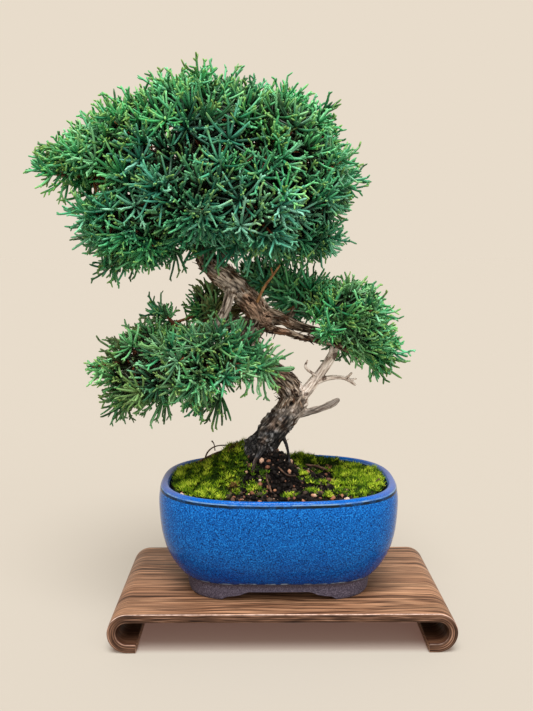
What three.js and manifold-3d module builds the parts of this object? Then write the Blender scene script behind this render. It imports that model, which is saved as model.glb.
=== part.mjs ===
// A juniper bonsai in a glazed pot on a bent-wood display stand.
// Millimetres, +Z up. The front of the tree faces -Y.
// Everything is laid out from the middle of the stand's footprint on the table,
// and the whole is then centred on its own footprint.
import * as THREE from "three";
import { mergeVertices } from "three/addons/utils/BufferGeometryUtils.js";
import Module from "manifold-3d";

const wasm = await Module();
wasm.setup();

// ---------------------------------------------------------------- sizes

const seatGap = 0.3; // clearance between pieces that rest on or in each other

const stand = {
  width: 209, // over the two rolled ends
  depth: 109,
  height: 24.2,
  board: 5.3, // thickness of the laminated board
  tail: 5.2, // flat foot past the bottom of each rolled end
  edge: 0.6, // worn edge
};

const pot = {
  centre: [-1.6, 1],
  rimHalfWidth: 75,
  rimHalfDepth: 60,
  height: 67.8, // feet included
  wall: 5.8,
  lipInside: [69.2, 65.5], // half width and height where the lip meets the inner wall
  lipStart: 60, // the wall is even up to here
  floor: 14, // top of the floor above the stand
  underside: 6.5, // height of the gaps between the feet
  rimSquareness: 2.7, // superellipse powers of the plan
  footSquareness: 3.5,
  footHalfWidth: 58,
  footHalfDepth: 38,
  footWall: 9,
  frontGap: 35.5, // half the gap between two feet, along the front and along the sides
  sideGap: 19,
  drainRadius: 5.5,
  drainOffset: 24,
  sides: 32,
};

const ground = {
  belowRim: 3.6, // level of the soil at the wall
  mound: 19, // the root ball stands this far above it
  crest: [-17, 4],
  spread: [50, 42],
};

const moss = {
  rootDepth: 3, // a cushion is shaped this far into the soil, and then cut along its surface
  wallGap: 1,
  trunk: { centre: [-13, 0], radius: 14 }, // kept free of moss
  edgeWave: 0.14, // how far the outline wanders, as a share of its radius
  topWave: 0.14, // how far the top does, as a share of the thickness
  lumps: [3.2, 3.7], // scale of the unevenness of the top
  cushions: [
    { name: "moss_left", centre: [-45, 1], radii: [31, 46], thick: 4.6, sides: 24 },
    { name: "moss_right", centre: [53, 2], radii: [21, 38], thick: 4.2, sides: 20 },
    { name: "moss_back", centre: [18, 43], radii: [29, 10], thick: 3.2, sides: 16 },
  ],
};

const foliage = {
  seed: 101,
  sprays: 51,
  candidates: 160, // places tried on each pad for the tip of a spray
  overlap: 0.9, // a tip this far inside the next pad is left out
  stub: 6, // bare twig, part of the tree, that carries a spray
  stubRadius: 1.5,
  setBack: 0.45, // how far back along the branch's last stretch a spray that aims sideways starts
  stemRadius: 1.8,
  stemTaper: 0.8,
  leastStem: 12,
  tipInset: 8, // the stem ends this far short of where its last shoots reach
  shoots: 14,
  firstShoot: 0.16, // as a share of the stem
  lastShoot: 0.93,
  shootAngle: [72, 24], // from the stem, for the first shoot and the last
  shootLength: [22, 15],
  angleSpread: 5, // chance, either way, in those angles
  lengthSpread: 0.15, // and in those lengths, as a share
  shootRadius: 0.74,
  clearance: 0.35, // between the shoots of two sprays
  tries: 30,
  shrink: 0.5, // the last try is this much shorter
  twist: 8, // and the tries open and close the angle by this much
};

const standTop = stand.height;
const potTop = standTop + pot.height;

// ---------------------------------------------------------------- helpers

const vec = (p) => new THREE.Vector3(...p);
const degrees = THREE.MathUtils.degToRad;

// A repeatable stream of numbers from 0 to 1.
function seeded(seed) {
  let state = seed >>> 0;
  return () => {
    state = (Math.imul(state, 1664525) + 1013904223) >>> 0;
    return state / 4294967296;
  };
}

function solidFrom(geometry) {
  const bare = new THREE.BufferGeometry();
  bare.setAttribute("position", geometry.getAttribute("position").clone());
  if (geometry.index) bare.setIndex(geometry.index.clone());
  const merged = mergeVertices(bare, 1e-3);
  return new wasm.Manifold(
    new wasm.Mesh({
      numProp: 3,
      vertProperties: new Float32Array(merged.attributes.position.array),
      triVerts: new Uint32Array(merged.index.array),
    }),
  );
}

function geometryFrom(solid) {
  const mesh = solid.getMesh();
  const position = new Float32Array(mesh.numVert * 3);
  for (let i = 0; i < mesh.numVert; i++) {
    const start = i * mesh.numProp;
    position.set(mesh.vertProperties.subarray(start, start + 3), i * 3);
  }
  const geometry = new THREE.BufferGeometry();
  geometry.setAttribute("position", new THREE.BufferAttribute(position, 3));
  geometry.setIndex(new THREE.BufferAttribute(new Uint32Array(mesh.triVerts), 1));
  return geometry;
}

const join = (solids) => wasm.Manifold.union(solids);

// Moves every point of a geometry by a rule.
function reshape(geometry, rule) {
  const position = geometry.getAttribute("position");
  const point = new THREE.Vector3();
  for (let i = 0; i < position.count; i++) {
    rule(point.fromBufferAttribute(position, i));
    position.setXYZ(i, point.x, point.y, point.z);
  }
  return geometry;
}

// A round-cornered ring: the point of a superellipse at an angle.
function roundedPlan(angle, halfWidth, halfDepth, power) {
  const along = (value, half) => half * Math.sign(value) * Math.abs(value) ** (2 / power);
  return [along(Math.cos(angle), halfWidth), along(Math.sin(angle), halfDepth)];
}

// A turned profile of [radius, height] points, squared off in plan.
function turned(profile, plan, sides) {
  const outline = profile.map(([r, z]) => new THREE.Vector2(r, z));
  const lathe = new THREE.LatheGeometry(outline, sides);
  const step = (2 * Math.PI) / sides;
  return reshape(lathe, (p) => {
    const radius = Math.hypot(p.x, p.z);
    const angle = Math.round(Math.atan2(p.x, p.z) / step) * step;
    const [x, y] = radius < 1e-6 ? [0, 0] : plan(angle, radius, p.y);
    p.set(x, y, p.y);
  });
}

// The rings of a limb, evenly spread along a smooth line through its points [x, y, z, radius].
function limbRings(points, count, extra = 0) {
  const path = new THREE.CatmullRomCurve3(points.map(([x, y, z]) => new THREE.Vector3(x, y, z)));
  const radii = new THREE.CatmullRomCurve3(points.map((p) => new THREE.Vector3(p[3], 0, 0)));
  const frames = path.computeFrenetFrames(count, false);
  return Array.from({ length: count + 1 }, (_, i) => {
    const share = path.getUtoTmapping(i / count);
    return {
      centre: path.getPoint(share),
      radius: radii.getPoint(share).x + extra,
      normal: frames.normals[i],
      binormal: frames.binormals[i],
    };
  });
}

// A tapered tube through rings.
function limb(rings, sides) {
  const count = rings.length - 1;
  const tube = new THREE.CylinderGeometry(1, 1, count, sides, count);
  return reshape(tube, (p) => {
    const { centre, radius, normal, binormal } = rings[Math.round(p.y + count / 2)];
    const across = normal.clone().multiplyScalar(p.z * radius);
    const over = binormal.clone().multiplyScalar(p.x * radius);
    p.copy(centre).add(across).add(over);
  });
}

// A straight spike turned from an outline of [radius, share of the length].
function spike(from, to, outline, sides) {
  const along = to.clone().sub(from);
  const length = along.length();
  const spindle = new THREE.LatheGeometry(
    outline.map(([r, share]) => new THREE.Vector2(r, share * length)),
    sides,
  );
  const turn = new THREE.Quaternion().setFromUnitVectors(new THREE.Vector3(0, 1, 0), along.normalize());
  return spindle.applyQuaternion(turn).translate(from.x, from.y, from.z);
}

// ---------------------------------------------------------------- ground

// Height of the soil at a place in the pot.
function soilHeight(x, y) {
  const { crest, spread } = ground;
  const away = Math.hypot((x - crest[0]) / spread[0], (y - crest[1]) / spread[1]);
  const swell = Math.cos((Math.min(away, 1) * Math.PI) / 2) ** 2;
  return potTop - ground.belowRim + ground.mound * swell;
}

// How far inside the pot's wall a place is: 1 is at the wall's inner face.
function towardsWall(x, y, margin) {
  const across = Math.abs(x - pot.centre[0]) / (pot.rimHalfWidth - pot.wall - margin);
  const deep = Math.abs(y - pot.centre[1]) / (pot.rimHalfDepth - pot.wall - margin);
  return across ** pot.rimSquareness + deep ** pot.rimSquareness;
}

// ---------------------------------------------------------------- stand

// One board of laminated wood, bent round under itself at both ends.
function makeStand() {
  const radius = stand.height / 2;
  const bend = stand.width / 2 - radius;
  const inner = radius - stand.board;
  const shape = new THREE.Shape();
  shape.moveTo(-bend, stand.height);
  shape.absarc(-bend, radius, radius, Math.PI / 2, (3 * Math.PI) / 2, false);
  shape.lineTo(-bend + stand.tail, 0);
  shape.lineTo(-bend + stand.tail, stand.board);
  shape.lineTo(-bend, stand.board);
  shape.absarc(-bend, radius, inner, (3 * Math.PI) / 2, Math.PI / 2, true);
  shape.lineTo(bend, stand.height - stand.board);
  shape.absarc(bend, radius, inner, Math.PI / 2, -Math.PI / 2, true);
  shape.lineTo(bend - stand.tail, stand.board);
  shape.lineTo(bend - stand.tail, 0);
  shape.lineTo(bend, 0);
  shape.absarc(bend, radius, radius, -Math.PI / 2, Math.PI / 2, false);
  const board = new THREE.ExtrudeGeometry(shape, {
    depth: stand.depth - 2 * stand.edge,
    curveSegments: 8,
    bevelThickness: stand.edge,
    bevelSize: stand.edge,
    bevelOffset: -stand.edge,
    bevelSegments: 1,
  });
  board.translate(0, 0, -stand.depth / 2 + stand.edge);
  return board.rotateX(Math.PI / 2);
}

// ---------------------------------------------------------------- pot

// Outside of the pot, from the foot band up to the inner edge of the lip: [half width, height].
const potOutside = [
  [58.5, 6.5],
  [58.7, 10],
  [62.4, 12],
  [67, 17.8],
  [71.8, 27.5],
  [75, 40],
  [76.4, 56],
  [75.4, 64],
  [75.1, 66.5],
  [72.6, 67.8],
  [70.2, 67],
];

// Half depth and squareness of the pot's plan where it is so wide and so high.
function potPlan(angle, halfWidth, height) {
  const up = THREE.MathUtils.clamp(height / pot.height, 0, 1);
  const rimInset = pot.rimHalfWidth - pot.rimHalfDepth;
  const footInset = pot.footHalfWidth - pot.footHalfDepth;
  const inset = THREE.MathUtils.lerp(footInset, rimInset, up);
  const power = THREE.MathUtils.lerp(pot.footSquareness, pot.rimSquareness, up);
  const halfDepth = halfWidth * (1 - inset / THREE.MathUtils.lerp(pot.footHalfWidth, pot.rimHalfWidth, up));
  return roundedPlan(angle, halfWidth, halfDepth, power);
}

// The inner wall from top to bottom, or a surface that keeps a gap to it.
function cavity(gap) {
  const wall = potOutside.filter(([, z]) => z > pot.floor && z < pot.lipStart).reverse();
  const corner = [wall.at(-1)[0] - 2 * pot.wall, pot.floor + gap];
  return [...wall.map(([r, z]) => [r - pot.wall - gap, z]), corner];
}

// Half profile of the cut-out between two feet: [share of the gap's half width, share of its height].
const ogee = [
  [1, 0],
  [0.94, 0.38],
  [0.76, 0.55],
  [0.63, 0.74],
  [0.52, 1],
];

function footGap(halfGap, length) {
  const shape = new THREE.Shape();
  shape.moveTo(halfGap, -1);
  ogee.forEach(([x, z]) => shape.lineTo(halfGap * x, pot.underside * z));
  [...ogee].reverse().forEach(([x, z]) => shape.lineTo(-halfGap * x, pot.underside * z));
  shape.lineTo(-halfGap, -1);
  const block = new THREE.ExtrudeGeometry(shape, { depth: length, bevelEnabled: false });
  return block.translate(0, 0, -length / 2).rotateX(Math.PI / 2);
}

function makePot() {
  const inside = [pot.lipInside, ...cavity(0), [0, pot.floor]];
  const body = solidFrom(turned([[0, pot.underside], ...potOutside, ...inside], potPlan, pot.sides));

  const outer = pot.footHalfWidth;
  const inner = outer - pot.footWall;
  const top = pot.underside + 1;
  const face = [[outer - 3, 0], [outer - 0.9, 1], [outer, 3], [outer, top]];
  const band = [[inner, top], [inner, 0], ...face, [inner, top]];
  const ring = solidFrom(turned(band, potPlan, pot.sides));
  const frontGap = solidFrom(footGap(pot.frontGap, 2 * pot.rimHalfDepth));
  const sideGap = solidFrom(footGap(pot.sideGap, 2 * pot.rimHalfWidth).rotateZ(Math.PI / 2));
  const feet = ring.subtract(frontGap).subtract(sideGap);

  const drains = [-1, 1].map((side) => {
    const drill = new THREE.CylinderGeometry(pot.drainRadius, pot.drainRadius, 2 * pot.floor, 12);
    return solidFrom(drill.rotateX(Math.PI / 2).translate(side * pot.drainOffset, 0, pot.floor));
  });
  const whole = join([body, feet]).subtract(join(drains));
  return whole.translate([pot.centre[0], pot.centre[1], standTop]);
}

// ---------------------------------------------------------------- tree

// The trunk is one live line of wood that folds back on itself twice: [x, y, z, radius].
const trunkPieces = [
  [
    [-17, 1, 82, 10.2],
    [-14, 0.5, 98, 11],
    [-11.5, 0, 108, 10.2],
    [-5, -0.5, 121, 9],
    [3, -1, 133, 8.7],
    [8.5, -1, 141.5, 8.6],
    [11, -1, 145.5, 7],
  ],
  [
    [9.5, -1, 139, 7.6],
    [7.5, -0.5, 148, 8],
    [-2, 0.5, 158.5, 7.2],
    [-12, 2, 165, 6.8],
    [-18.5, 3, 173.5, 6.5],
    [-19.5, 3, 183, 6.4],
    [-15.5, 1.5, 191.5, 6.8],
    [-12.5, 0, 197, 6],
  ],
  [
    [-9, 1, 191, 5.6],
    [-13, 0, 197.5, 7],
    [-18, -1, 204.5, 6.3],
    [-26, -1.5, 213, 6],
    [-36, -1, 221.8, 6.1],
    [-45, 0.5, 229.5, 5.6],
    [-50, 2.5, 239, 4.9],
    [-49, 4, 252, 4.2],
    [-46, 4, 268, 3.3],
    [-48, 2, 284, 2.6],
    [-54, 0, 298, 1.9],
  ],
];

// Old dead wood: the bleached stub at the first fold with its forked twigs, the short stub
// below it, and the grey strand that comes down to the left branch.
const deadWood = [
  [
    [9, -1, 141, 5],
    [19, -2, 153, 4],
    [25, -2, 161, 3.1],
    [30.5, -1.5, 168.8, 2.9],
    [36, -1, 176.5, 2.2],
  ],
  [
    [20, -2, 153.5, 1.8],
    [27, -3.5, 156.8, 1.7],
    [34, -5, 158.2, 1.3],
    [41, -6, 157, 1.2],
    [46.8, -6.5, 153.2, 0.9],
  ],
  [
    [41, -6, 157, 0.8],
    [44.8, -7.5, 161, 0.7],
  ],
  [
    [25.5, -2.5, 156.5, 1.2],
    [20, -5, 160.6, 1.1],
    [15, -6.5, 165, 0.9],
    [16.6, -7, 169.6, 0.6],
  ],
  [
    [6, -1, 133, 3.6],
    [16, -2, 134.6, 3],
    [26, -3, 137.6, 2.5],
    [35.5, -4, 143, 1.7],
  ],
  [
    [-30, -3, 216, 3],
    [-33.5, -6.5, 205, 2.8],
    [-38.5, -7, 194, 3.1],
    [-46, -4, 185.5, 2.2],
  ],
];

// Roots that show above the soil.
const roots = [
  [
    [1, -1.5, 121, 1.5],
    [4, -3, 112.5, 1.2],
    [5.5, -4, 104.5, 1.1],
    [6.5, -4.5, 96, 1],
  ],
  [
    [-11, -4, 112, 4.4],
    [-15, -12, 103.5, 3],
    [-17.5, -21, 98.5, 1.9],
    [-19, -29, 91, 1.2],
  ],
  [
    [-13, 4, 110, 4.6],
    [-6, 13, 102, 3],
    [2, 22, 95.5, 1.8],
    [6, 28, 88, 1.2],
  ],
];

// Foliage pads. Each is a rounded cloud that hangs on one branch: the tips of its sprays lie on
// an ellipsoid, where it isn't inside the next cloud.
const pads = [
  {
    name: "crown_left",
    centre: [-121, -2, 290],
    radii: [34, 32, 19],
    branch: [[-47, 1, 234, 3.4], [-68, -2, 249, 2.8], [-93, -1, 268, 2.3], [-112, -1, 284, 1.8]],
  },
  {
    name: "crown_upper_left",
    centre: [-92, 4, 303],
    radii: [38, 46, 30],
    branch: [[-49, 4, 251, 2.8], [-64, 7, 274, 2.2], [-82, 6, 292, 1.7]],
  },
  {
    name: "crown_top",
    centre: [-52, 0, 317],
    radii: [42, 56, 34],
    branch: [[-48, 2, 284, 2.4], [-54, -1, 298, 1.9], [-54, -1, 308, 1.5]],
  },
  {
    name: "crown_upper_right",
    centre: [-3, 2, 306],
    radii: [42, 52, 34],
    branch: [[-46, 4, 267, 2.7], [-30, 6, 284, 2.1], [-13, 4, 297, 1.6]],
  },
  {
    name: "crown_right",
    centre: [20, 0, 280],
    radii: [32, 44, 34],
    branch: [[-48, 4, 258, 2.9], [-24, 3, 268, 2.2], [8, 0, 278, 1.6]],
  },
  {
    name: "crown_lower_right",
    centre: [10, 2, 250],
    radii: [32, 38, 26],
    branch: [[-44, 1, 231, 3], [-28, 5, 237, 2.5], [-10, 5, 242, 2], [4, 3, 248, 1.6]],
  },
  {
    name: "crown_lower_left",
    centre: [-98, -10, 251],
    radii: [36, 38, 31],
    branch: [[-48, 0, 236, 2.9], [-64, -5, 246, 2.3], [-86, -9, 254, 1.7]],
  },
  {
    name: "crown_front_left",
    centre: [-54, -34, 266],
    radii: [32, 28, 30],
    branch: [[-50, 2, 242, 2.6], [-53, -13, 254, 2], [-55, -25, 265, 1.6]],
  },
  {
    name: "crown_front_right",
    centre: [-12, -34, 264],
    radii: [30, 27, 30],
    branch: [[-49, 4, 254, 2.6], [-34, -12, 260, 2], [-18, -24, 264, 1.6]],
  },
  {
    name: "crown_back",
    centre: [-44, 42, 274],
    radii: [52, 30, 36],
    branch: [[-49, 4, 248, 2.8], [-49, 18, 258, 2.2], [-46, 33, 270, 1.7]],
  },
  {
    name: "low_left",
    centre: [-95, -6, 162],
    radii: [33, 34, 31],
    branch: [[-18, 1, 193, 4], [-33, 2, 191, 3.4], [-56, -1, 182, 2.6], [-85, -4, 168, 1.8]],
  },
  {
    name: "low_upper",
    centre: [-74, 8, 184],
    radii: [28, 32, 22],
    branch: [[-40, 2, 188, 2.6], [-54, 6, 187, 2.1], [-66, 9, 188, 1.6]],
  },
  {
    name: "low_front",
    centre: [-48, -26, 167],
    radii: [37, 27, 31],
    branch: [[-21, 0, 184, 3], [-31, -12, 179, 2.3], [-43, -21, 172, 1.7]],
  },
  {
    name: "low_back",
    centre: [-44, 22, 197],
    radii: [20, 22, 16],
    branch: [[-20, 2, 190, 2.8], [-32, 10, 192, 2.1], [-41, 16, 195, 1.6]],
  },
  {
    name: "right_pad",
    centre: [46, -5, 190],
    radii: [33, 35, 30],
    branch: [
      [-14, 0, 197, 5],
      [-1, -1, 194, 4.4],
      [10, -1, 188.6, 3.6],
      [22, -1.5, 185, 2.8],
      [40, -3, 185, 1.9],
    ],
  },
  {
    name: "right_back",
    centre: [18, 24, 212],
    radii: [28, 24, 19],
    branch: [[2, 0, 193, 2.8], [9, 9, 200, 2.1], [15, 17, 208, 1.6]],
  },
];

const goldenAngle = Math.PI * (3 - Math.sqrt(5));

// Straight stretches of everything grown so far, to keep one spray clear of the next.
const grown = [];

function gapBetween(a, b) {
  const u = a.to.clone().sub(a.from);
  const v = b.to.clone().sub(b.from);
  const w = a.from.clone().sub(b.from);
  const uu = u.dot(u);
  const uv = u.dot(v);
  const vv = v.dot(v);
  const flat = uu * vv - uv * uv;
  const clamp = (value) => THREE.MathUtils.clamp(value, 0, 1);
  let s = flat > 1e-9 ? clamp((uv * v.dot(w) - vv * u.dot(w)) / flat) : 0;
  const t = clamp((uv * s + v.dot(w)) / vv);
  s = clamp((uv * t - u.dot(w)) / uu);
  const near = a.from.clone().addScaledVector(u, s);
  const other = b.from.clone().addScaledVector(v, t);
  return near.distanceTo(other) - a.radius - b.radius;
}

function isClear(piece) {
  return grown.every((other) => other.owner === piece.owner || gapBetween(piece, other) > foliage.clearance);
}

// Notes the wood of a limb, ring by ring.
function noteWood(rings) {
  rings.slice(1).forEach((ring, i) => {
    const radius = Math.max(ring.radius, rings[i].radius);
    grown.push({ from: rings[i].centre, to: ring.centre, radius, owner: "wood" });
  });
}

// A direction at an angle from an axis, turned round it.
function lean(axis, angle, turn) {
  const helper = Math.abs(axis.z) > 0.8 ? new THREE.Vector3(1, 0, 0) : new THREE.Vector3(0, 0, 1);
  const across = new THREE.Vector3().crossVectors(axis, helper).normalize();
  across.applyAxisAngle(axis, turn);
  return axis.clone().multiplyScalar(Math.cos(angle)).addScaledVector(across, Math.sin(angle)).normalize();
}

// The first that clears everything else of several pieces, each a little shorter than the last
// and aimed another way.
function fit(owner, from, radius, length, aimOf) {
  for (let i = 0; i < foliage.tries; i++) {
    const size = length * (1 - (foliage.shrink * i) / foliage.tries);
    const piece = { from, to: from.clone().addScaledVector(aimOf(i), size), radius, owner };
    if (isClear(piece)) {
      grown.push(piece);
      return piece;
    }
  }
  return null;
}

// Whether a place is well inside a pad.
function isInside(place, pad) {
  const offset = place.clone().sub(vec(pad.centre)).divide(vec(pad.radii));
  return offset.length() < foliage.overlap;
}

// Places spread over the open side of one pad.
function placesOn(pad) {
  const places = [];
  for (let i = 0; i < foliage.candidates; i++) {
    const up = 1 - (2 * (i + 0.5)) / foliage.candidates;
    const flat = Math.sqrt(1 - up * up);
    const way = new THREE.Vector3(flat * Math.cos(i * goldenAngle), flat * Math.sin(i * goldenAngle), up);
    const place = way.multiply(vec(pad.radii)).add(vec(pad.centre));
    const open = pads.every((other) => other === pad || !isInside(place, other));
    if (open) places.push({ pad, place });
  }
  return places;
}

// The bare twig and the slim stem that reach from a pad's branch to a tip, or nothing where
// something else is in the way.
function startSpray(name, pad, tip) {
  const heart = vec(pad.branch.at(-1));
  const along = heart.clone().sub(vec(pad.branch.at(-2)));
  const reach = along.length();
  along.normalize();
  const turn = tip.clone().sub(heart).normalize().dot(along);
  const from = heart.addScaledVector(along, -foliage.setBack * reach * (1 - turn));
  const aim = tip.clone().sub(from).normalize();
  const end = from.clone().addScaledVector(aim, foliage.stub);
  const twig = { from, to: end, radius: foliage.stubRadius, owner: "wood" };
  if (!isClear(twig)) return null;
  const root = end.clone().addScaledVector(aim, seatGap);
  const length = root.distanceTo(tip) - foliage.tipInset;
  const stem = length > foliage.leastStem && fit(name, root, foliage.stemRadius, length, () => aim);
  if (!stem) return null;
  grown.push(twig);
  return { name, twig, stem };
}

// Sprays as evenly spread over the whole tree as they can be: each new tip is the open place
// furthest from all the others that can be reached.
function planSprays() {
  const open = pads.flatMap(placesOn).map((candidate) => ({ ...candidate, apart: Infinity }));
  const counts = new Map();
  const sprays = [];
  while (sprays.length < foliage.sprays) {
    if (!open.length) throw new Error("too few places for the sprays");
    open.sort((a, b) => b.apart - a.apart);
    const { pad, place } = open.shift();
    const number = (counts.get(pad) ?? 0) + 1;
    const spray = startSpray(`${pad.name}_${number}`, pad, place);
    if (!spray) continue;
    counts.set(pad, number);
    sprays.push(spray);
    open.forEach((other) => {
      other.apart = Math.min(other.apart, other.place.distanceTo(place));
    });
  }
  return sprays;
}

const stemOutline = (r) => [[0, 0], [r, 0], [foliage.stemTaper * r, foliage.lastShoot], [0, 1]];
const shootOutline = (r) => [[0, 0], [r, 0], [0, 1]];

// A spray: pointed shoots all round its stem.
function makeSpray({ name, stem }, index) {
  const random = seeded(foliage.seed + index);
  const chance = (spread) => spread * (2 * random() - 1);
  const solids = [solidFrom(spike(stem.from, stem.to, stemOutline(stem.radius), 4))];
  const way = stem.to.clone().sub(stem.from).normalize();
  for (let i = 0; i < foliage.shoots; i++) {
    const step = i / (foliage.shoots - 1);
    const share = THREE.MathUtils.lerp(foliage.firstShoot, foliage.lastShoot, step);
    const from = stem.from.clone().lerp(stem.to, share);
    const angle = THREE.MathUtils.lerp(...foliage.shootAngle, step) + chance(foliage.angleSpread);
    const length = THREE.MathUtils.lerp(...foliage.shootLength, step) * (1 + chance(foliage.lengthSpread));
    const aimOf = (k) => lean(way, degrees(angle + foliage.twist * Math.sin(3 * k)), (i + k) * goldenAngle);
    const shoot = fit(name, from, foliage.shootRadius, length, aimOf);
    if (shoot) solids.push(solidFrom(spike(shoot.from, shoot.to, shootOutline(shoot.radius), 3)));
  }
  return { name, solid: join(solids) };
}

// Sides of a limb, by its thickness at the root.
const sidesOf = (points) => [4, 5, 6, 8, 10].find((_, i) => points[0][3] < [2, 3.5, 5.5, 7, Infinity][i]);

function makeLimb(points, rings, extra = 0) {
  return solidFrom(limb(limbRings(points, rings, extra), sidesOf(points)));
}

function makeTree() {
  const limbs = [
    ...trunkPieces.map((points) => ({ points, rings: 2 * points.length - 4 })),
    ...roots.map((points) => ({ points, rings: points.length + 1 })),
    ...deadWood.map((points) => ({ points, rings: points.length })),
    ...pads.map(({ branch }) => ({ points: branch, rings: branch.length })),
  ];
  limbs.forEach(({ points, rings }) => noteWood(limbRings(points, rings)));
  const sprays = planSprays();
  const twigOutline = [[0, 0], [foliage.stubRadius, 1], [0, 1]];
  const twigs = sprays.map(({ twig }) => solidFrom(spike(twig.from, twig.to, twigOutline, 3)));
  const wood = limbs.map(({ points, rings }) => makeLimb(points, rings));

  // What stands in the ground, a little larger all round, for its hole.
  const sunk = limbs.filter(({ points }) => Math.min(...points.map((p) => p[2])) < potTop + ground.mound);
  const holes = sunk.map(({ points, rings }) => {
    const [[x, y, z, r], ...rest] = points;
    return makeLimb([[x, y, z - seatGap, r], ...rest], rings, 1.5 * seatGap);
  });
  return { wood: join([...wood, ...twigs]), inTheGround: join(holes), sprays: sprays.map(makeSpray) };
}

// ---------------------------------------------------------------- soil and moss

function makeSoil(holes) {
  const [lipHalfWidth, lipHeight] = pot.lipInside;
  const top = [1, 0.8, 0.6, 0.4, 0.2, 0].map((share) => [share * (lipHalfWidth - seatGap), lipHeight]);
  const profile = [[0, pot.floor + seatGap], ...cavity(seatGap).reverse(), ...top];
  const fill = turned(profile, potPlan, pot.sides);
  fill.translate(pot.centre[0], pot.centre[1], standTop);
  reshape(fill, (p) => {
    if (p.z > standTop + lipHeight - seatGap) p.z = soilHeight(p.x, p.y);
  });
  return solidFrom(fill).subtract(holes);
}

// Half outline of a cushion of moss: share of its radius, share of its thickness.
const cushionProfile = [[0, 0], [0.55, 0], [1, 0], [1, 0.35], [0.9, 0.72], [0.68, 0.93], [0.35, 1], [0, 1]];

// Whether moss of a cushion may grow at a place.
function isMossy(x, y, { centre, radii }) {
  const [trunkX, trunkY] = moss.trunk.centre;
  const inCushion = Math.hypot((x - centre[0]) / radii[0], (y - centre[1]) / radii[1]) < 1;
  const atTrunk = Math.hypot(x - trunkX, y - trunkY) < moss.trunk.radius;
  return inCushion && !atTrunk && towardsWall(x, y, moss.wallGap) < 1;
}

// How far a cushion spreads one way from its middle.
function mossReach(angle, cushion) {
  const [x, y] = cushion.centre;
  const step = 0.25;
  let reach = step;
  while (isMossy(x + reach * Math.cos(angle), y + reach * Math.sin(angle), cushion)) reach += step;
  return reach - step;
}

// A low uneven cushion of moss, cut along the ground that it lies on.
function makeMoss(cushion, below) {
  const spread = turned(
    cushionProfile,
    (angle, share) => {
      const wave = 1 - moss.edgeWave * Math.cos(2.5 * angle + cushion.centre[0]) ** 2;
      const reach = share * wave * mossReach(angle, cushion);
      return [reach * Math.cos(angle), reach * Math.sin(angle)];
    },
    cushion.sides,
  );
  reshape(spread, (p) => {
    const x = p.x + cushion.centre[0];
    const y = p.y + cushion.centre[1];
    const wave = 1 - moss.topWave * Math.sin(x / moss.lumps[0]) * Math.cos(y / moss.lumps[1]);
    p.set(x, y, soilHeight(x, y) - moss.rootDepth + p.z * wave * (cushion.thick + moss.rootDepth));
  });
  return solidFrom(spread).subtract(below);
}

// ---------------------------------------------------------------- assembly

const finish = (color, roughness) => new THREE.MeshStandardMaterial({ color, roughness, metalness: 0 });
const walnut = finish("#7a5644", 0.45);
const blueGlaze = finish("#1757a8", 0.18);
const earth = finish("#2a2420", 0.95);
const mossGreen = finish("#6f8f1c", 0.95);
const bark = finish("#6b5546", 0.9);
const juniperGreen = finish("#2f7a55", 0.6);

const bonsai = new THREE.Group();

function place(name, geometry, material) {
  const mesh = new THREE.Mesh(geometry, material);
  mesh.name = name;
  bonsai.add(mesh);
}

const tree = makeTree();
const soil = makeSoil(tree.inTheGround);
const underMoss = join([tree.inTheGround, soil.translate([0, 0, seatGap])]);
place("display_stand", makeStand(), walnut);
place("pot", geometryFrom(makePot()), blueGlaze);
place("soil", geometryFrom(soil), earth);
moss.cushions.forEach((cushion) => {
  place(cushion.name, geometryFrom(makeMoss(cushion, underMoss)), mossGreen);
});
place("trunk_and_branches", geometryFrom(tree.wood), bark);
tree.sprays.forEach(({ name, solid }) => place(name, geometryFrom(solid), juniperGreen));

// The origin is the middle of the whole footprint, on the table.
const extent = new THREE.Box3().setFromObject(bonsai);
const middle = extent.getCenter(new THREE.Vector3());
bonsai.position.set(-middle.x, -middle.y, -extent.min.z);

export default bonsai;
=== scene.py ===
import math
import random
from collections import namedtuple
from functools import partial

import bmesh
import bpy
import numpy as np
from mathutils import Matrix, Quaternion, Vector, noise
from mathutils.bvhtree import BVHTree
from mathutils.kdtree import KDTree


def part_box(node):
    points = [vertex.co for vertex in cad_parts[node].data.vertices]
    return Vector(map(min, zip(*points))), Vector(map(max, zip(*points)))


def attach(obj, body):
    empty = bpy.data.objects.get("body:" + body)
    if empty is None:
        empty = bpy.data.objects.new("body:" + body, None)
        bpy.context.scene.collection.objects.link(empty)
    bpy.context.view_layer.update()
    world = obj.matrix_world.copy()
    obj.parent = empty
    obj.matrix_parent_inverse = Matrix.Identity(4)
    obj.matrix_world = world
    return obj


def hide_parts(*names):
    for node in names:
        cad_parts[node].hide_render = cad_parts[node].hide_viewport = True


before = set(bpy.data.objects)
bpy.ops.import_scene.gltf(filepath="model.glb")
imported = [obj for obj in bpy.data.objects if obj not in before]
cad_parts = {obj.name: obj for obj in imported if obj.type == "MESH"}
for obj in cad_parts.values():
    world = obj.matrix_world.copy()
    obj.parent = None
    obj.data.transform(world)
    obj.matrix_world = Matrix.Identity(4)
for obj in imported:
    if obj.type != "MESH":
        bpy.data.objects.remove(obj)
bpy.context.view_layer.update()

# Shapes are drawn in millimetres from the middle of the stand's footprint, then placed in the frame.
standLow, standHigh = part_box("display_stand")
standMiddle = Vector(((standLow.x + standHigh.x) / 2, (standLow.y + standHigh.y) / 2, standLow.z))
toFrame = Matrix.Translation(standMiddle) @ Matrix.Scale(0.001, 4)
fromFrame = toFrame.inverted()


def hexColour(text):  # sRGB hex to the linear colour that nodes take
    parts = [int(text[i:i + 2], 16) / 255 for i in (1, 3, 5)]
    return (*[c / 12.92 if c <= 0.04045 else ((c + 0.055) / 1.055) ** 2.4 for c in parts], 1.0)


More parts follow.
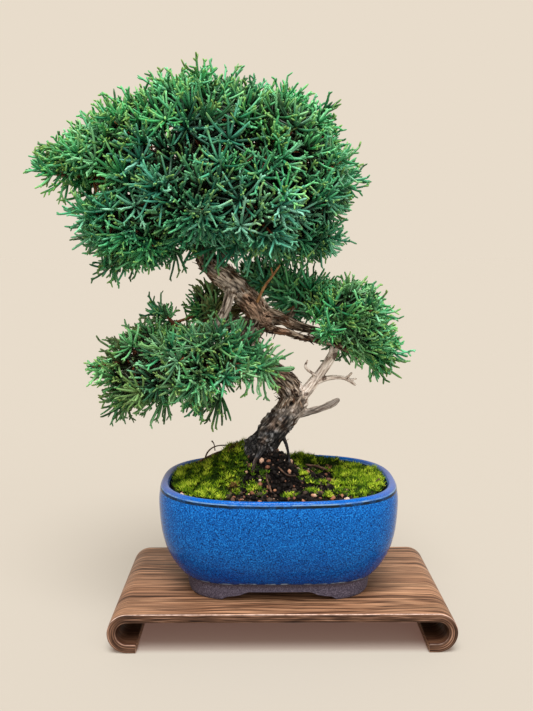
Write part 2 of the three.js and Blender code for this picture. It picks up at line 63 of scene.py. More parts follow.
def addNode(material, kind, inputs=(), out=0, ramp=None, **settings):  # a node with its settings and links
    node = material.node_tree.nodes.new("ShaderNode" + kind)
    for name, value in settings.items():
        setattr(node, name, value)
    for name, value in (inputs if isinstance(inputs, dict) else dict(enumerate(inputs))).items():
        if isinstance(value, bpy.types.NodeSocket):
            material.node_tree.links.new(value, node.inputs[name])
        else:
            node.inputs[name].default_value = hexColour(value) if isinstance(value, str) else value
    if ramp:
        stops = node.color_ramp.elements
        first, *between, last = ramp.items()
        for stop, (place, colour) in zip(stops, (first, last)):
            stop.position, stop.color = place, hexColour(colour)
        for place, colour in between:
            stops.new(place).color = hexColour(colour)
    return node.outputs[out] if node.outputs else node


times = {"operation": "MULTIPLY"}
asColour = {"out": 2, "data_type": "RGBA"}  # settings of a mix of two colours, which are its inputs 6 and 7


def newMaterial(name):  # an empty material, and the function that adds nodes to it
    material = bpy.data.materials.new(name)
    material.use_nodes = True
    material.node_tree.nodes.clear()
    return material, partial(addNode, material)


def finishMaterial(material, shader):  # closes a material with its shader
    surface = addNode(material, "BsdfPrincipled", shader)
    addNode(material, "OutputMaterial", {"Surface": surface})
    return material


def meshFrom(bm, name):
    mesh = bpy.data.meshes.new(name)
    bm.to_mesh(mesh)
    bm.free()
    return mesh


def placeObject(name, data):
    placed = bpy.data.objects.new(name, data)
    bpy.context.scene.collection.objects.link(placed)
    return placed


def newPiece(name, shape, material, replaces=()):  # a finished piece, in the frame and riding on it
    mesh = meshFrom(shape, name) if isinstance(shape, bmesh.types.BMesh) else shape
    mesh.name = name
    mesh.transform(toFrame)
    mesh.materials.clear()
    mesh.materials.append(material)
    mesh.shade_smooth()
    piece = placeObject(name, mesh)
    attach(piece, "root")
    if replaces:
        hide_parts(*replaces)
    return piece


def pieceName(node):  # the camelCase name of the piece that dresses a node
    first, *others = node.split("_")
    return first + "".join(word.capitalize() for word in others)


def withModifiers(mesh, *modifiers):  # the mesh that a stack of modifiers makes of this one
    holder = placeObject("holder", mesh)
    for kind, settings in modifiers:
        modifier = holder.modifiers.new(kind.title(), kind)
        for name, value in settings.items():
            setattr(modifier, name, value)
    bpy.context.view_layer.update()
    finished = bpy.data.meshes.new_from_object(holder.evaluated_get(bpy.context.evaluated_depsgraph_get()))
    bpy.data.objects.remove(holder)
    return finished


def only(kind, made):  # the faces or the points among what an operator made
    return [item for item in made if isinstance(item, getattr(bmesh.types, kind))]


def cutAcross(bm, heights):
    for height in heights:
        bmesh.ops.bisect_plane(bm, geom=bm.verts[:] + bm.edges[:] + bm.faces[:], plane_co=(0, 0, height),
                               plane_no=(0, 0, 1))


def smoothThrough(points, steps):  # a smooth line through points, each with any number of values
    points = [np.array(p, float) for p in points]
    padded = [2 * points[0] - points[1], *points, 2 * points[-1] - points[-2]]
    line = []
    for a, b, c, d in zip(padded, padded[1:], padded[2:], padded[3:]):
        for i in range(steps):
            t = i / steps
            line.append(0.5 * (2 * b + (c - a) * t + (2 * a - 5 * b + 4 * c - d) * t * t
                               + (3 * b - a - 3 * c + d) * t ** 3))
    return [*line, points[-1]]


def setValues(mesh, name, values, kind="FLOAT", field="value"):  # values at the points, for a material
    layer = mesh.attributes.new(name, kind, "POINT")
    layer.data.foreach_set(field, np.asarray(values, np.float32).ravel())


class Crowd:  # many copies of small shapes, gathered into one mesh with values for its material
    def __init__(self):
        self.places, self.loops, self.sizes, self.values, self.count = [], [], [], {}, 0

    def add(self, template, places, **values):  # places: one row of points for each copy
        copies, points = places.shape[:2]
        starts = self.count + points * np.arange(copies)
        self.places.append(places.reshape(-1, 3))
        self.loops.append((template["loops"][None, :] + starts[:, None]).ravel())
        self.sizes.append(np.tile(template["sizes"], copies))
        for name, value in values.items():
            full = np.broadcast_to(np.asarray(value, float), (copies, points))
            self.values.setdefault(name, []).append(full.ravel())
        self.count += copies * points

    def mesh(self, name):
        places, loops, sizes = map(np.concatenate, (self.places, self.loops, self.sizes))
        mesh = bpy.data.meshes.new(name)
        mesh.vertices.add(len(places))
        mesh.vertices.foreach_set("co", places.astype(np.float32).ravel())
        mesh.loops.add(len(loops))
        mesh.loops.foreach_set("vertex_index", loops.astype(np.int32))
        mesh.polygons.add(len(sizes))
        mesh.polygons.foreach_set("loop_start", (np.cumsum(sizes) - sizes).astype(np.int32))
        mesh.update(calc_edges=True)
        mesh.validate()
        for key, value in self.values.items():
            setValues(mesh, key, np.concatenate(value))
        return mesh


def asTemplate(bm):  # the points and faces of a small shape, ready to be copied
    bmesh.ops.recalc_face_normals(bm, faces=bm.faces)
    bm.verts.index_update()
    template = {
        "points": np.array([v.co for v in bm.verts]),
        "loops": np.array([v.index for face in bm.faces for v in face.verts]),
        "sizes": np.array([len(face.verts) for face in bm.faces]),
    }
    bm.free()
    return template


def unit(vectors):
    return vectors / np.linalg.norm(vectors, axis=-1, keepdims=True)


def across(directions):  # two unit vectors at right angles to each of many directions
    helper = np.where(np.abs(directions[:, 2:3]) > 0.9, [[1.0, 0, 0]], [[0, 0, 1.0]])
    first = unit(np.cross(directions, helper))
    return first, np.cross(directions, first)


def placeCords(template, rows):  # copies along bowed lines; rows: start, chord, bow, radius and more
    start, chord, bow, radius = rows[:, 0:3], rows[:, 3:6], rows[:, 6:9], rows[:, 9]
    first, second = across(unit(chord))
    points = template["points"]
    share = points[:, 2]
    places = start[:, None] + chord[:, None] * share[None, :, None]
    places = places + bow[:, None] * (4 * share * (1 - share))[None, :, None]
    return places + radius[:, None, None] * (first[:, None] * points[None, :, 0:1]
                                             + second[:, None] * points[None, :, 1:2])


def leaning(way, side, angle):
    return way * math.cos(angle) + side * math.sin(angle)


def clamp(value):
    return min(max(value, 0), 1)


def noiseAt(x, y, fine, layer):  # smooth noise over the plan of the pot
    return noise.noise(Vector((x * fine, y * fine, layer)))


studio = {
    "camera": (-12.8, -502.7, 238.3),  # mm from the middle of the stand
    "tilt": 7.57,  # degrees down
    "turn": 0.41,  # degrees to the right
    "lens": 40.5,
    "backdrop": "#e8dccb",
    "floorGlow": 0.32,  # share of the floor's light that comes from below, as on a light table
    "underGlow": "#a87d6e",  # tone of that light under the stand: darker and browner, a painted shadow of the stand with warm light bounced from its wood
    "underFade": 0.005,  # metres over which it fades at the stand's outline
    "key": {"from": (-0.03, -0.5, 1.2), "angle": 36, "strength": 5.6},  # broad lamps, far away
    "fill": {"from": (0.5, -1.0, 0.5), "angle": 60, "strength": 1.2},
}


def setUpStudio():
    scene = bpy.context.scene
    camera = bpy.data.cameras.new("camera")
    camera.lens = studio["lens"]
    camera.clip_start, camera.clip_end = 0.01, 50
    scene.camera = placeObject("camera", camera)
    scene.camera.location = toFrame @ Vector(studio["camera"])
    scene.camera.rotation_euler = (math.radians(90 - studio["tilt"]), 0, math.radians(-studio["turn"]))

    lampLight = 0
    for name in ("key", "fill"):
        lamp = studio[name]
        light = bpy.data.lights.new(name, "SUN")
        light.energy, light.angle = lamp["strength"], math.radians(lamp["angle"])
        way = Vector(lamp["from"]).normalized()
        placeObject(name, light).rotation_euler = way.to_track_quat("Z", "Y").to_euler()
        lampLight += lamp["strength"] * way.z / math.pi

    backdrop = hexColour(studio["backdrop"])
    scene.world = bpy.data.worlds.new("studio")
    scene.world.use_nodes = True
    scene.world.node_tree.nodes["Background"].inputs["Color"].default_value = backdrop
    scene.view_settings.view_transform = "Standard"

    # matte paper, partly lit through, of the tone that reads like the backdrop under these lamps
    tone = [(1 - studio["floorGlow"]) * c / (c + lampLight) for c in backdrop[:3]]
    paper, add = newMaterial("lightTablePaper")
    place = add("TexCoord", out="Object")
    # painted shadow under the stand: within its footprint the floor glows darker and browner, fading at its
    # outline
    near = []
    for axis in (0, 1):
        half = (standHigh[axis] - standLow[axis]) / 2
        off = add("Math", (add("SeparateXYZ", (place,), axis), standMiddle[axis]), operation="SUBTRACT")
        off = add("Math", (off,), operation="ABSOLUTE")
        near.append(add("MapRange", (off, half - studio["underFade"], half, 1.0, 0.0)))
    paintedUnderShade = add("Math", near, **times)
    glow = add("Mix", {0: paintedUnderShade, 6: backdrop, 7: studio["underGlow"]}, **asColour)
    finishMaterial(paper, {"Base Color": (*tone, 1), "Roughness": 1.0, "Specular IOR Level": 0.0,
                           "Emission Color": glow, "Emission Strength": studio["floorGlow"]})
    bm = bmesh.new()
    bmesh.ops.create_circle(bm, cap_ends=True, segments=96, radius=20.0)
    mesh = meshFrom(bm, "floor")
    mesh.materials.append(paper)
    floor = placeObject("floor", mesh)


setUpStudio()
print("studio set up")


stand = {
    "bend": 92.4,  # middle of each rolled end
    "radius": 12.1,
    "board": 5.3,
    "depth": 109.0,
    "tail": 5.2,
    "edge": 0.8,  # rounding of the worn edges
    "curlSteps": 28,
    "grain": (0.003, 0.11, 0.3),  # lines of the grain in a mm along the board, across it and through it
    "ply": 1.309,  # mm of each lamination
    "noises": {  # how often each pattern changes in a mm along, across and through, and its detail
        "drift": ((0.012, 0.03, 0.0), 1.0),
        "threads": ((0.008, 0.8, 0.8), 3.0),  # fine streaks, about a millimetre wide
        "pores": ((0.05, 1.6, 1.6), 2.0),
        "streaks": ((0.05, 0.0, 1.5), 3.0),
        "rubbed": ((0.3, 0.3, 0.5), 4.0),
    },
}


def makeStand():
    bend, radius, board, depth = (stand[k] for k in ("bend", "radius", "board", "depth"))
    bm = bmesh.new()
    start = [bm.verts.new((stand["tail"] - bend, y, z)) for y, z in
             ((-depth / 2, 0), (depth / 2, 0), (depth / 2, board), (-depth / 2, board))]
    end = [bm.faces.new(start)]
    outline = set(end)

    def pull(distance, steps):
        nonlocal end
        for _ in range(steps):
            grown = bmesh.ops.extrude_face_region(bm, geom=end)["geom"]
            bmesh.ops.delete(bm, geom=[f for f in end if f not in outline], context="FACES_ONLY")
            end = only("BMFace", grown)
            bmesh.ops.translate(bm, vec=(distance / steps, 0, 0), verts=only("BMVert", grown))

    def curl(x):
        nonlocal end
        made = bmesh.ops.spin(bm, geom=end, cent=(x, 0, radius), axis=(0, 1, 0), angle=math.pi,
                              steps=stand["curlSteps"])
        bmesh.ops.delete(bm, geom=[f for f in end if f not in outline and f.is_valid], context="FACES_ONLY")
        end = only("BMFace", made["geom_last"])

    pull(-stand["tail"], 1)
    curl(-bend)
    pull(2 * bend, 24)
    curl(bend)
    pull(-stand["tail"], 1)
    bmesh.ops.remove_doubles(bm, verts=bm.verts, dist=1e-3)
    bmesh.ops.recalc_face_normals(bm, faces=bm.faces)
    sharp = [e for e in bm.edges if len(e.link_faces) == 2 and e.calc_face_angle(0) > 1.0]
    bmesh.ops.bevel(bm, geom=sharp, offset=stand["edge"], segments=3, profile=0.5, affect="EDGES",
                    material=-1)

    layer = bm.verts.layers.float_vector.new("board")  # along the bent board, across it and through it, mm
    neutral = radius - board / 2  # radius of the middle of the bent board
    for v in bm.verts:
        x, y, z = v.co
        over = abs(x) - bend
        if over > 0:
            along = bend + math.atan2(over, z - radius) * neutral
            through = radius - math.hypot(over, z - radius)
        elif z > radius:
            along, through = abs(x), 2 * radius - z
        else:
            along, through = bend + math.pi * neutral - over, z
        v[layer] = (math.copysign(along, x), y, through)
    return bm


def walnutMaterial():
    # Walnut veneer over bent laminations, lacquered: straight dark grain, a dull gloss, paler worn edges with
    # a painted highlight, and painted shade on the underside and inside the curls.
    walnut, add = newMaterial("walnutVeneer")
    board = add("Attribute", out="Vector", attribute_name="board")
    along, sideways, through = (add("SeparateXYZ", (board,), axis) for axis in range(3))
    patterns = []
    for often, detail in stand["noises"].values():
        spot = add("VectorMath", (board, often), **times)
        patterns.append(add("TexNoise", {"Vector": spot, "Scale": 1.0, "Detail": detail}))
    drift, threads, pores, streaks, rubbed = patterns
    # the drift shifts the grain sideways by a few millimetres over a hand's width
    shifted = add("Math", (drift, 14.0, sideways), operation="MULTIPLY_ADD")
    lines = [add("Math", pair, **times) for pair in zip((along, shifted, through), stand["grain"])]
    spot = add("CombineXYZ", lines)
    grain = add("TexNoise", {"Vector": spot, "Scale": 1.0, "Detail": 3.0, "Roughness": 0.5})
    bands = add("ValToRGB", (grain,), ramp={
        0.3: "#4a2e1f", 0.36: "#8c664c", 0.39: "#3d2518", 0.415: "#876149", 0.455: "#a37c60",
        0.48: "#43291b", 0.505: "#8f684e", 0.54: "#a27b5e", 0.565: "#452b1d", 0.59: "#956d52",
        0.63: "#ab8465", 0.655: "#4a2e1f", 0.68: "#8c664c", 0.74: "#60402e"})
    threadTone = add("ValToRGB", (threads,), ramp={0.36: "#8a827d", 0.58: "#ffffff"})
    inPores = add("MapRange", (pores, 0.56, 0.68, 0.0, 0.75))
    # painted shade: the underside of the board and the inside of the curls are darkened for the shade they
    # lie in
    paintedUnderShade = add("MapRange", (through, stand["board"] - 1.0, stand["board"] - 0.3, 0.0, 0.8))
    # the sawn edge shows the laminations, with streaks along them
    plies = add("ValToRGB", (streaks,), ramp={
        0.36: "#1e110b", 0.46: "#463024", 0.56: "#654837", 0.66: "#8a6a58"})
    turns = add("Math", (through, 2 * math.pi / stand["ply"]), **times)
    joints = add("MapRange", (add("Math", (turns,), operation="SINE"), 0.3, 0.9, 0.0, 0.85))
    plies = add("Mix", {0: joints, 6: plies, 7: "#1c0f09"}, **asColour)
    half = stand["depth"] / 2
    off = add("Math", (sideways,), operation="ABSOLUTE")
    atEdge = add("MapRange", (off, half - 0.55, half - 0.2, 0.0, 1.0))
    # paler wear along the rounded edge, with a painted highlight strongest towards the top, broken up every
    # few millimetres
    wearAndHighlight = add("MapRange", (off, half - 0.9, half - 0.45, 0.0, 1.0))
    for limit in ((off, half - 0.3, half - 0.08, 1.0, 0.0), (rubbed, 0.36, 0.64, 0.3, 0.85),
                  (through, 1.0, 2.2, 1.0, 0.2)):
        wearAndHighlight = add("Math", (wearAndHighlight, add("MapRange", limit)), **times)
    colour = add("Mix", {0: 1.0, 6: bands, 7: threadTone}, blend_type="MULTIPLY", **asColour)
    for share, coat in ((inPores, "#241611"), (paintedUnderShade, "#2a140b"), (atEdge, plies), (wearAndHighlight, "#c9ab9c")):
        colour = add("Mix", {0: share, 6: colour, 7: coat}, **asColour)
    bump = add("Bump", {"Height": grain, "Strength": 0.35, "Distance": 0.0004})
    gloss = add("MapRange", (grain, 0.3, 0.7, 0.52, 0.36))
    return finishMaterial(walnut, {"Base Color": colour, "Normal": bump, "Roughness": gloss, "IOR": 1.5,
                                   "Specular IOR Level": 0.13})


standPiece = newPiece("displayStand", makeStand(), walnutMaterial(), ["display_stand"])
standPiece.data.set_sharp_from_angle(angle=math.radians(40))
print("stand made")


standTop = 24.2

pot = {
    "middle": (-1.6, 3.5),
    "height": 67.8,
    "rim": (75.0, 56.5),  # half width and half depth
    "foot": (58.0, 40.5),
    "rimPower": 2.7,  # squareness of the plan
    "footPower": 3.5,
    "outside": [(56.6, 0), (57.5, 0.8), (58.1, 3), (58.5, 6.5), (58.7, 10), (62.4, 13), (67, 18.8),
                (71.8, 28), (75, 40), (76.4, 56), (75.7, 64), (75.3, 66), (74.2, 67.4), (72.6, 67.8),
                (70.9, 67.4), (69.9, 66)],
    "inside": [(69.2, 62), (70, 56), (69.2, 40), (66, 27.5), (61, 18), (54, 14), (30, 14)],
    "underneath": [(30, 6.6), (46, 6.6), (49, 5.6), (49, 0.6), (50, 0)],
    "floor": 14,
    "gapHeight": 6.5,
    "gaps": {"front": 35.5, "side": 19.0},
    "ogee": [(1, 0), (0.97, 0.2), (0.9, 0.42), (0.76, 0.55), (0.66, 0.68), (0.6, 0.86), (0.52, 1)],
    "drains": {"radius": 5.5, "apart": 48.0},
    "softening": 0.45,  # rounding of cut edges
    "bareHeight": 9.1,  # of the clay that the glaze leaves bare
    "steps": 168,
}


def potScale(angle, halfWidth, height):  # how far out the pot's plan reaches at an angle
    up = clamp(height / pot["height"])
    mix = lambda a, b: a + (b - a) * up
    (rimW, rimD), (footW, footD) = pot["rim"], pot["foot"]
    power = mix(pot["footPower"], pot["rimPower"])
    halfDepth = halfWidth * (1 - mix(footW - footD, rimW - rimD) / mix(footW, rimW))
    total = abs(math.cos(angle) / halfWidth) ** power + abs(math.sin(angle) / halfDepth) ** power
    return total ** (-1 / power)


def spinProfile(profile, steps, plan):  # turns a profile of (radius, height) and shapes it to a plan
    bm = bmesh.new()
    verts = [bm.verts.new((r, 0, z)) for r, z in profile]
    edges = [bm.edges.new(pair) for pair in zip(verts, verts[1:])]
    bmesh.ops.spin(bm, geom=verts + edges, cent=(0, 0, 0), axis=(0, 0, 1), angle=2 * math.pi, steps=steps,
                   use_merge=True)
    bmesh.ops.remove_doubles(bm, verts=bm.verts, dist=1e-4)
    for v in bm.verts:
        radius = math.hypot(v.co.x, v.co.y)
        if radius > 1e-4:
            angle = math.atan2(v.co.y, v.co.x)
            reach = plan(angle, radius, v.co.z)
            v.co.x, v.co.y = reach * math.cos(angle), reach * math.sin(angle)
    bmesh.ops.recalc_face_normals(bm, faces=bm.faces)
    return bm


def ogeeCutter(halfGap, length, turn):
    bm = bmesh.new()
    half = [(x * halfGap, z * pot["gapHeight"]) for x, z in pot["ogee"]]
    outline = [(half[0][0], -1), *half, *[(-x, z) for x, z in reversed(half)], (-half[0][0], -1)]
    face = bm.faces.new([bm.verts.new((x, -length / 2, z)) for x, z in outline])
    grown = bmesh.ops.extrude_face_region(bm, geom=[face])["geom"]
    bmesh.ops.translate(bm, vec=(0, length, 0), verts=only("BMVert", grown))
    bmesh.ops.rotate(bm, verts=bm.verts, cent=(0, 0, 0), matrix=Matrix.Rotation(turn, 3, "Z"))
    bmesh.ops.recalc_face_normals(bm, faces=bm.faces)
    return bm


def makePot():
    outside = [tuple(p) for p in smoothThrough(pot["outside"], 5)]
    inside = [tuple(p) for p in smoothThrough(pot["inside"], 3)]
    profile = [(0, pot["underneath"][0][1]), *pot["underneath"], *outside, *inside, (0, pot["floor"])]
    cutters = [ogeeCutter(pot["gaps"]["front"], 160, 0), ogeeCutter(pot["gaps"]["side"], 200, math.pi / 2)]
    for side in (-1, 1):
        drill = bmesh.new()
        bmesh.ops.create_cone(drill, cap_ends=True, segments=32, radius1=pot["drains"]["radius"],
                              radius2=pot["drains"]["radius"], depth=30)
        bmesh.ops.translate(drill, vec=(side * pot["drains"]["apart"] / 2, 0, pot["floor"]),
                            verts=drill.verts)
        cutters.append(drill)
    holders = [placeObject("cutter", meshFrom(cutter, "cutter")) for cutter in cutters]
    cuts = [("BOOLEAN", {"object": holder, "operation": "DIFFERENCE", "solver": "EXACT"})
            for holder in holders]
    softened = ("BEVEL", {"width": pot["softening"], "segments": 2, "limit_method": "ANGLE",
                          "angle_limit": math.radians(42)})
    mesh = withModifiers(meshFrom(spinProfile(profile, pot["steps"], potScale), "pot"), *cuts, softened)
    for holder in holders:
        bpy.data.objects.remove(holder)
    mesh.transform(Matrix.Translation((*pot["middle"], standTop)))
    return mesh


def glazeMaterial():
    # Cobalt glaze on stoneware: a glassy coat, speckled where it pulled apart, thin and dark along the lip,
    # bare grey-mauve clay at the feet. The lip also carries a painted highlight along its rounded edge and a
    # painted reflection at its ends.
    ware, add = newMaterial("cobaltGlazeOnStoneware")
    place = add("TexCoord", out="Object")
    height = add("Math", (add("SeparateXYZ", (place,), 2), 1000.0), **times)  # mm above the table
    fine = add("TexNoise", {"Vector": place, "Scale": 1300.0, "Detail": 3.0, "Roughness": 0.6})  # 0.8 mm
    speck = add("TexVoronoi", {"Vector": place, "Scale": 800.0})  # 1.3 mm apart
    cloud, wander, sag, streaks = (  # 40, 33, 45 and 6 mm
        add("TexNoise", {"Vector": place, "Scale": scale, "Detail": detail})
        for scale, detail in ((26.0, 3.0), (30.0, 2.0), (22.0, 3.0), (160.0, 3.0)))
    upper, lower, lip, clay = (add("ValToRGB", (fine,), ramp=tones) for tones in (
        {0.36: "#01224c", 0.46: "#06468c", 0.55: "#0a549e", 0.66: "#1f7ac4"},
        {0.36: "#001848", 0.46: "#002c76", 0.57: "#003e92", 0.68: "#0a58b0"},
        {0.32: "#033878", 0.5: "#054c98", 0.7: "#1064b8"},
        {0.34: "#342f3b", 0.5: "#4c4654", 0.66: "#6a6372"}))
    rise, level, edge = (add("Math", (waver, reach, height), operation="MULTIPLY_ADD")
                         for waver, reach in ((cloud, 30.0), (wander, -1.6), (sag, -5.0)))
    pooled = add("MapRange", (rise, 46.0, 78.0, 1.0, 0.0), interpolation_type="SMOOTHSTEP")
    dots = add("MapRange", (speck, 0.1, 0.26, 0.5, 0.0))
    # painted reflection: towards its left and right ends the lip is greyed to mauve, as the pale room
    # reflects in it there
    middle = (toFrame @ Vector((*pot["middle"], 0))).x
    off = add("Math", (add("SeparateXYZ", (place,), 0), middle), operation="SUBTRACT")
    paintedEndReflection = add("MapRange", (add("Math", (off,), operation="ABSOLUTE"), 0.05, 0.073, 0.0, 0.6))
    lip = add("Mix", {0: paintedEndReflection, 6: lip, 7: "#55597c"}, **asColour)
    # the lip is bluer, with a pale line along its rounded edge, a painted highlight broken up by streaks,
    # above a thin dark line
    rimTop = standTop + pot["height"]
    onLip = add("MapRange", (level, rimTop - 2.7, rimTop - 2.1, 0.0, 1.0))
    band = add("MapRange", (level, rimTop - 4.8, rimTop - 1.8))
    black, white = "#000000", "#ffffff"
    dark = add("ValToRGB", (band,), ramp={0.06: black, 0.18: white, 0.62: white, 0.72: black})
    dark = add("Math", (dark, add("MapRange", (streaks, 0.38, 0.62, 0.75, 1.0))), **times)
    pale = add("ValToRGB", (band,), ramp={0.66: black, 0.74: white, 0.86: white, 0.96: black})
    pale = add("Math", (pale, add("MapRange", (streaks, 0.42, 0.6, 0.2, 0.75))), **times)
    # bare clay below a wavy edge, where the glaze ends in a dark roll with pale beads
    glazeEnd = standTop + pot["bareHeight"]
    bare = add("MapRange", (edge, glazeEnd, glazeEnd + 0.5, 1.0, 0.0))
    rolled = add("MapRange", (edge, glazeEnd, glazeEnd + 1.9, 0.85, 0.0))
    beads = add("Math", (add("MapRange", (edge, glazeEnd + 0.8, glazeEnd + 1.4, 1.0, 0.0)),
                         add("MapRange", (streaks, 0.46, 0.57, 0.0, 0.8))), **times)
    colour = upper
    for share, coat in ((pooled, lower), (dots, "#021b3c"), (onLip, lip), (dark, "#0f181c"),
                        (pale, "#6a869c"), (rolled, "#0a1f3c"), (beads, "#8ba2b4"), (bare, clay)):
        colour = add("Mix", {0: share, 6: colour, 7: coat}, **asColour)
    roughness = add("MapRange", (bare, 0.0, 1.0, 0.16, 0.85))
    bump = add("Bump", {"Height": fine, "Strength": 0.12, "Distance": 0.0003})
    return finishMaterial(ware, {"Base Color": colour, "Roughness": roughness, "Normal": bump, "IOR": 1.5,
                                 "Specular IOR Level": 0.11})


potPiece = newPiece("glazedPot", makePot(), glazeMaterial(), ["pot"])
potPiece.data.set_sharp_from_angle(angle=math.radians(50))
print("pot made")


ground = {
    "low": 88.4,  # height of the soil at the wall
    "rise": 19.0,
    "crest": (-17.0, 4.0),
    "heap": ((-7.0, -5.0), 15.0, 8.0),  # middle, reach and height of the crumbs heaped against the trunk
    "spread": (50.0, 42.0),
    "sides": [(53.6, 14.3), (60.6, 18.3), (65.6, 27.5), (68.8, 40), (69.6, 56)],  # radius and height
    "wall": (69.3, 64.0),  # half width of the soil at the top, and its height in the pot
    "rings": 78,
    "steps": 200,
    "crumble": 0.55,
    "grains": 4400,
    "shapes": 4,  # kinds of grain
    "grainSize": (0.5, 2.5),  # half length, mm
    "field": ((-70, 66), (-56, 58)),  # from and to in x and in y
    "seed": 3,
}


def mound(x, y, place):  # height of a round mound, given its middle, reach and height
    (cx, cy), reach, rise = place
    return rise * math.exp(-((x - cx) ** 2 + (y - cy) ** 2) / reach ** 2)


def soilHeight(x, y):
    away = min(math.hypot((x - ground["crest"][0]) / ground["spread"][0],
                          (y - ground["crest"][1]) / ground["spread"][1]), 1)
    return (ground["low"] + ground["rise"] * math.cos(away * math.pi / 2) ** 2
            + mound(x, y, ground["heap"]))


def towardsWall(x, y):  # 0 in the middle of the pot, 1 where the soil meets the wall
    dx, dy = x - pot["middle"][0], y - pot["middle"][1]
    return math.hypot(dx, dy) / potScale(math.atan2(dy, dx), *ground["wall"])


def makeSoil():
    (top, level), count = ground["wall"], ground["rings"]
    (_, bottom), flat = ground["sides"][0], level + 0.2
    rings = [(top * (1 - i / count), flat) for i in range(count)]
    bm = spinProfile([(0, bottom), *ground["sides"], *rings, (0, flat)], ground["steps"], potScale)
    bmesh.ops.translate(bm, vec=(*pot["middle"], standTop), verts=bm.verts)
    for v in bm.verts:
        if v.co.z > standTop + level + 0.1:
            spot = v.co * 0.45
            rough = noise.noise(spot) + 0.6 * noise.noise(spot * 2.7) - 0.5 * abs(noise.noise(spot * 0.3))
            v.co.z = soilHeight(v.co.x, v.co.y) + ground["crumble"] * rough
    return bm


def soilMaterial():
    # Potting mix of peat, bark and fired clay crumbs: nearly black, damp, with no gloss of its own.
    mix, add = newMaterial("dampPottingMix")
    place = add("TexCoord", out="Object")
    crumb = add("TexVoronoi", {"Vector": place, "Scale": 520.0})  # 1.9 mm crumbs
    fine = add("TexNoise", {"Vector": place, "Scale": 700.0, "Detail": 4.0})
    dark = add("ValToRGB", (fine,), ramp={0.35: "#040303", 0.5: "#100d0b", 0.62: "#241e1b", 0.75: "#40362f"})
    # painted shade: darker in the crevices between the crumbs
    shade = add("MapRange", (crumb, 0.1, 0.6, 0.0, 0.8))
    colour = add("Mix", {0: shade, 6: dark, 7: "#040303"}, **asColour)
    bump = add("Bump", {"Height": crumb, "Strength": 0.9, "Distance": 0.0012}, invert=True)
    return finishMaterial(mix, {"Base Color": colour, "Normal": bump, "Roughness": 0.92, "IOR": 1.4,
                                "Specular IOR Level": 0.06})


def gritMaterial():
    # Loose bark crumbs and broken fired clay: each grain has its own tone, from black to tan and brick red.
    grit, add = newMaterial("barkAndClayGrit")
    base = add("ValToRGB", (add("Attribute", out="Fac", attribute_name="tone"),), ramp={
        0.0: "#040303", 0.45: "#0f0c0b", 0.7: "#241d1a", 0.85: "#463930", 0.93: "#7c4f3b", 0.975: "#9a6c52",
        0.998: "#c4b4a4"})
    fine = add("TexNoise", {"Vector": add("TexCoord", out="Object"), "Scale": 900.0, "Detail": 3.0})
    dust = add("MapRange", (fine, 0.3, 0.7, 0.6, 1.25))
    shade = add("CombineXYZ", (dust, dust, dust))
    colour = add("Mix", {0: 1.0, 6: base, 7: shade}, blend_type="MULTIPLY", **asColour)
    return finishMaterial(grit, {"Base Color": colour, "Roughness": 0.8, "IOR": 1.45,
                                 "Specular IOR Level": 0.12})


def makeGrit():  # loose grains all over the soil
    rng = np.random.default_rng(ground["seed"])
    crowd = Crowd()
    small, large = ground["grainSize"]
    for shape in range(ground["shapes"]):
        bm = bmesh.new()
        bmesh.ops.create_icosphere(bm, subdivisions=1, radius=1)
        for v in bm.verts:
            v.co *= 1 + 0.35 * noise.noise(v.co * 1.7 + Vector((shape * 5, 0, 0)))
        template = asTemplate(bm)
        spots = []
        while len(spots) < ground["grains"] // ground["shapes"]:
            x, y = (rng.uniform(*ends) for ends in ground["field"])
            if towardsWall(x, y) < 0.97:
                spots.append((x, y))
        n = len(spots)
        tone = rng.random(n) ** 1.15
        size = rng.uniform(0, 1, n) ** 2.4 * (large - small) + small
        stretch = rng.uniform(0.55, 1.0, (n, 3)) * size[:, None]
        turns = np.array([np.array(Quaternion(rng.normal(size=4)).normalized().to_matrix())
                          for _ in range(n)])
        places = np.einsum("nij,pj,nj->npi", turns, template["points"], stretch)
        middles = np.array([(x, y, soilHeight(x, y) + s * 0.3) for (x, y), s in zip(spots, size)])
        crowd.add(template, places + middles[:, None], tone=tone[:, None])
    return crowd.mesh("grit")


soilPiece = newPiece("soil", makeSoil(), soilMaterial(), ["soil"])
gritPiece = newPiece("grit", makeGrit(), gritMaterial())
print("soil made:", len(gritPiece.data.polygons) // 20, "grains")


moss = {
    "cushions": {  # middle, radii across and along the pot, and thickness, mm
        "moss_left": ((-45, 1), (31, 46), 4.6),
        "moss_right": ((53, 2), (21, 38), 4.2),
        "moss_back": ((15, 43), (28, 11), 5.6),
    },
    "clumps": [  # middle and radius
        (-27, 5, 8), (-30, -6, 6), (15, -7, 5.5), (21, -9, 4), (26.5, -5, 4), (19, -24, 4.5), (8.5, -29, 3.2),
        (36, -22, 4.5), (34, -8, 4), (-18, -27, 5), (-11, -20, 3.5), (14, 33, 6), (-4, 38, 5), (34, 27, 5),
        (41, -30, 5), (-13, -30, 3.5), (3, -33, 3), (28, -33, 3.5), (24, 20, 4), (12, 6, 2.6), (-17, -17, 3),
    ],
    "clumpHeight": 1.6,
    "mound": ((-31, 3), 13, 3.2),  # middle, reach and height of the swelling against the trunk
    "apart": 1.55,  # mm between stars of leaves
    "field": ((-70, 68), (-57, 60)),  # from and to in x and in y
    "wall": 0.975,  # how near it comes to the wall of the pot
    "leaf": (1.7, 3.7),  # length of a leaf, mm
    "leafRadius": 0.45,
    "leavesPerStar": 6,
    "hump": 2.4,  # height of the small humps, mm
    "brown": [((-40, 17), 9), ((-31, 1), 5), ((-24, 24), 6), ((-30, -27), 3.5)],  # withered patches
    "seed": 11,
}


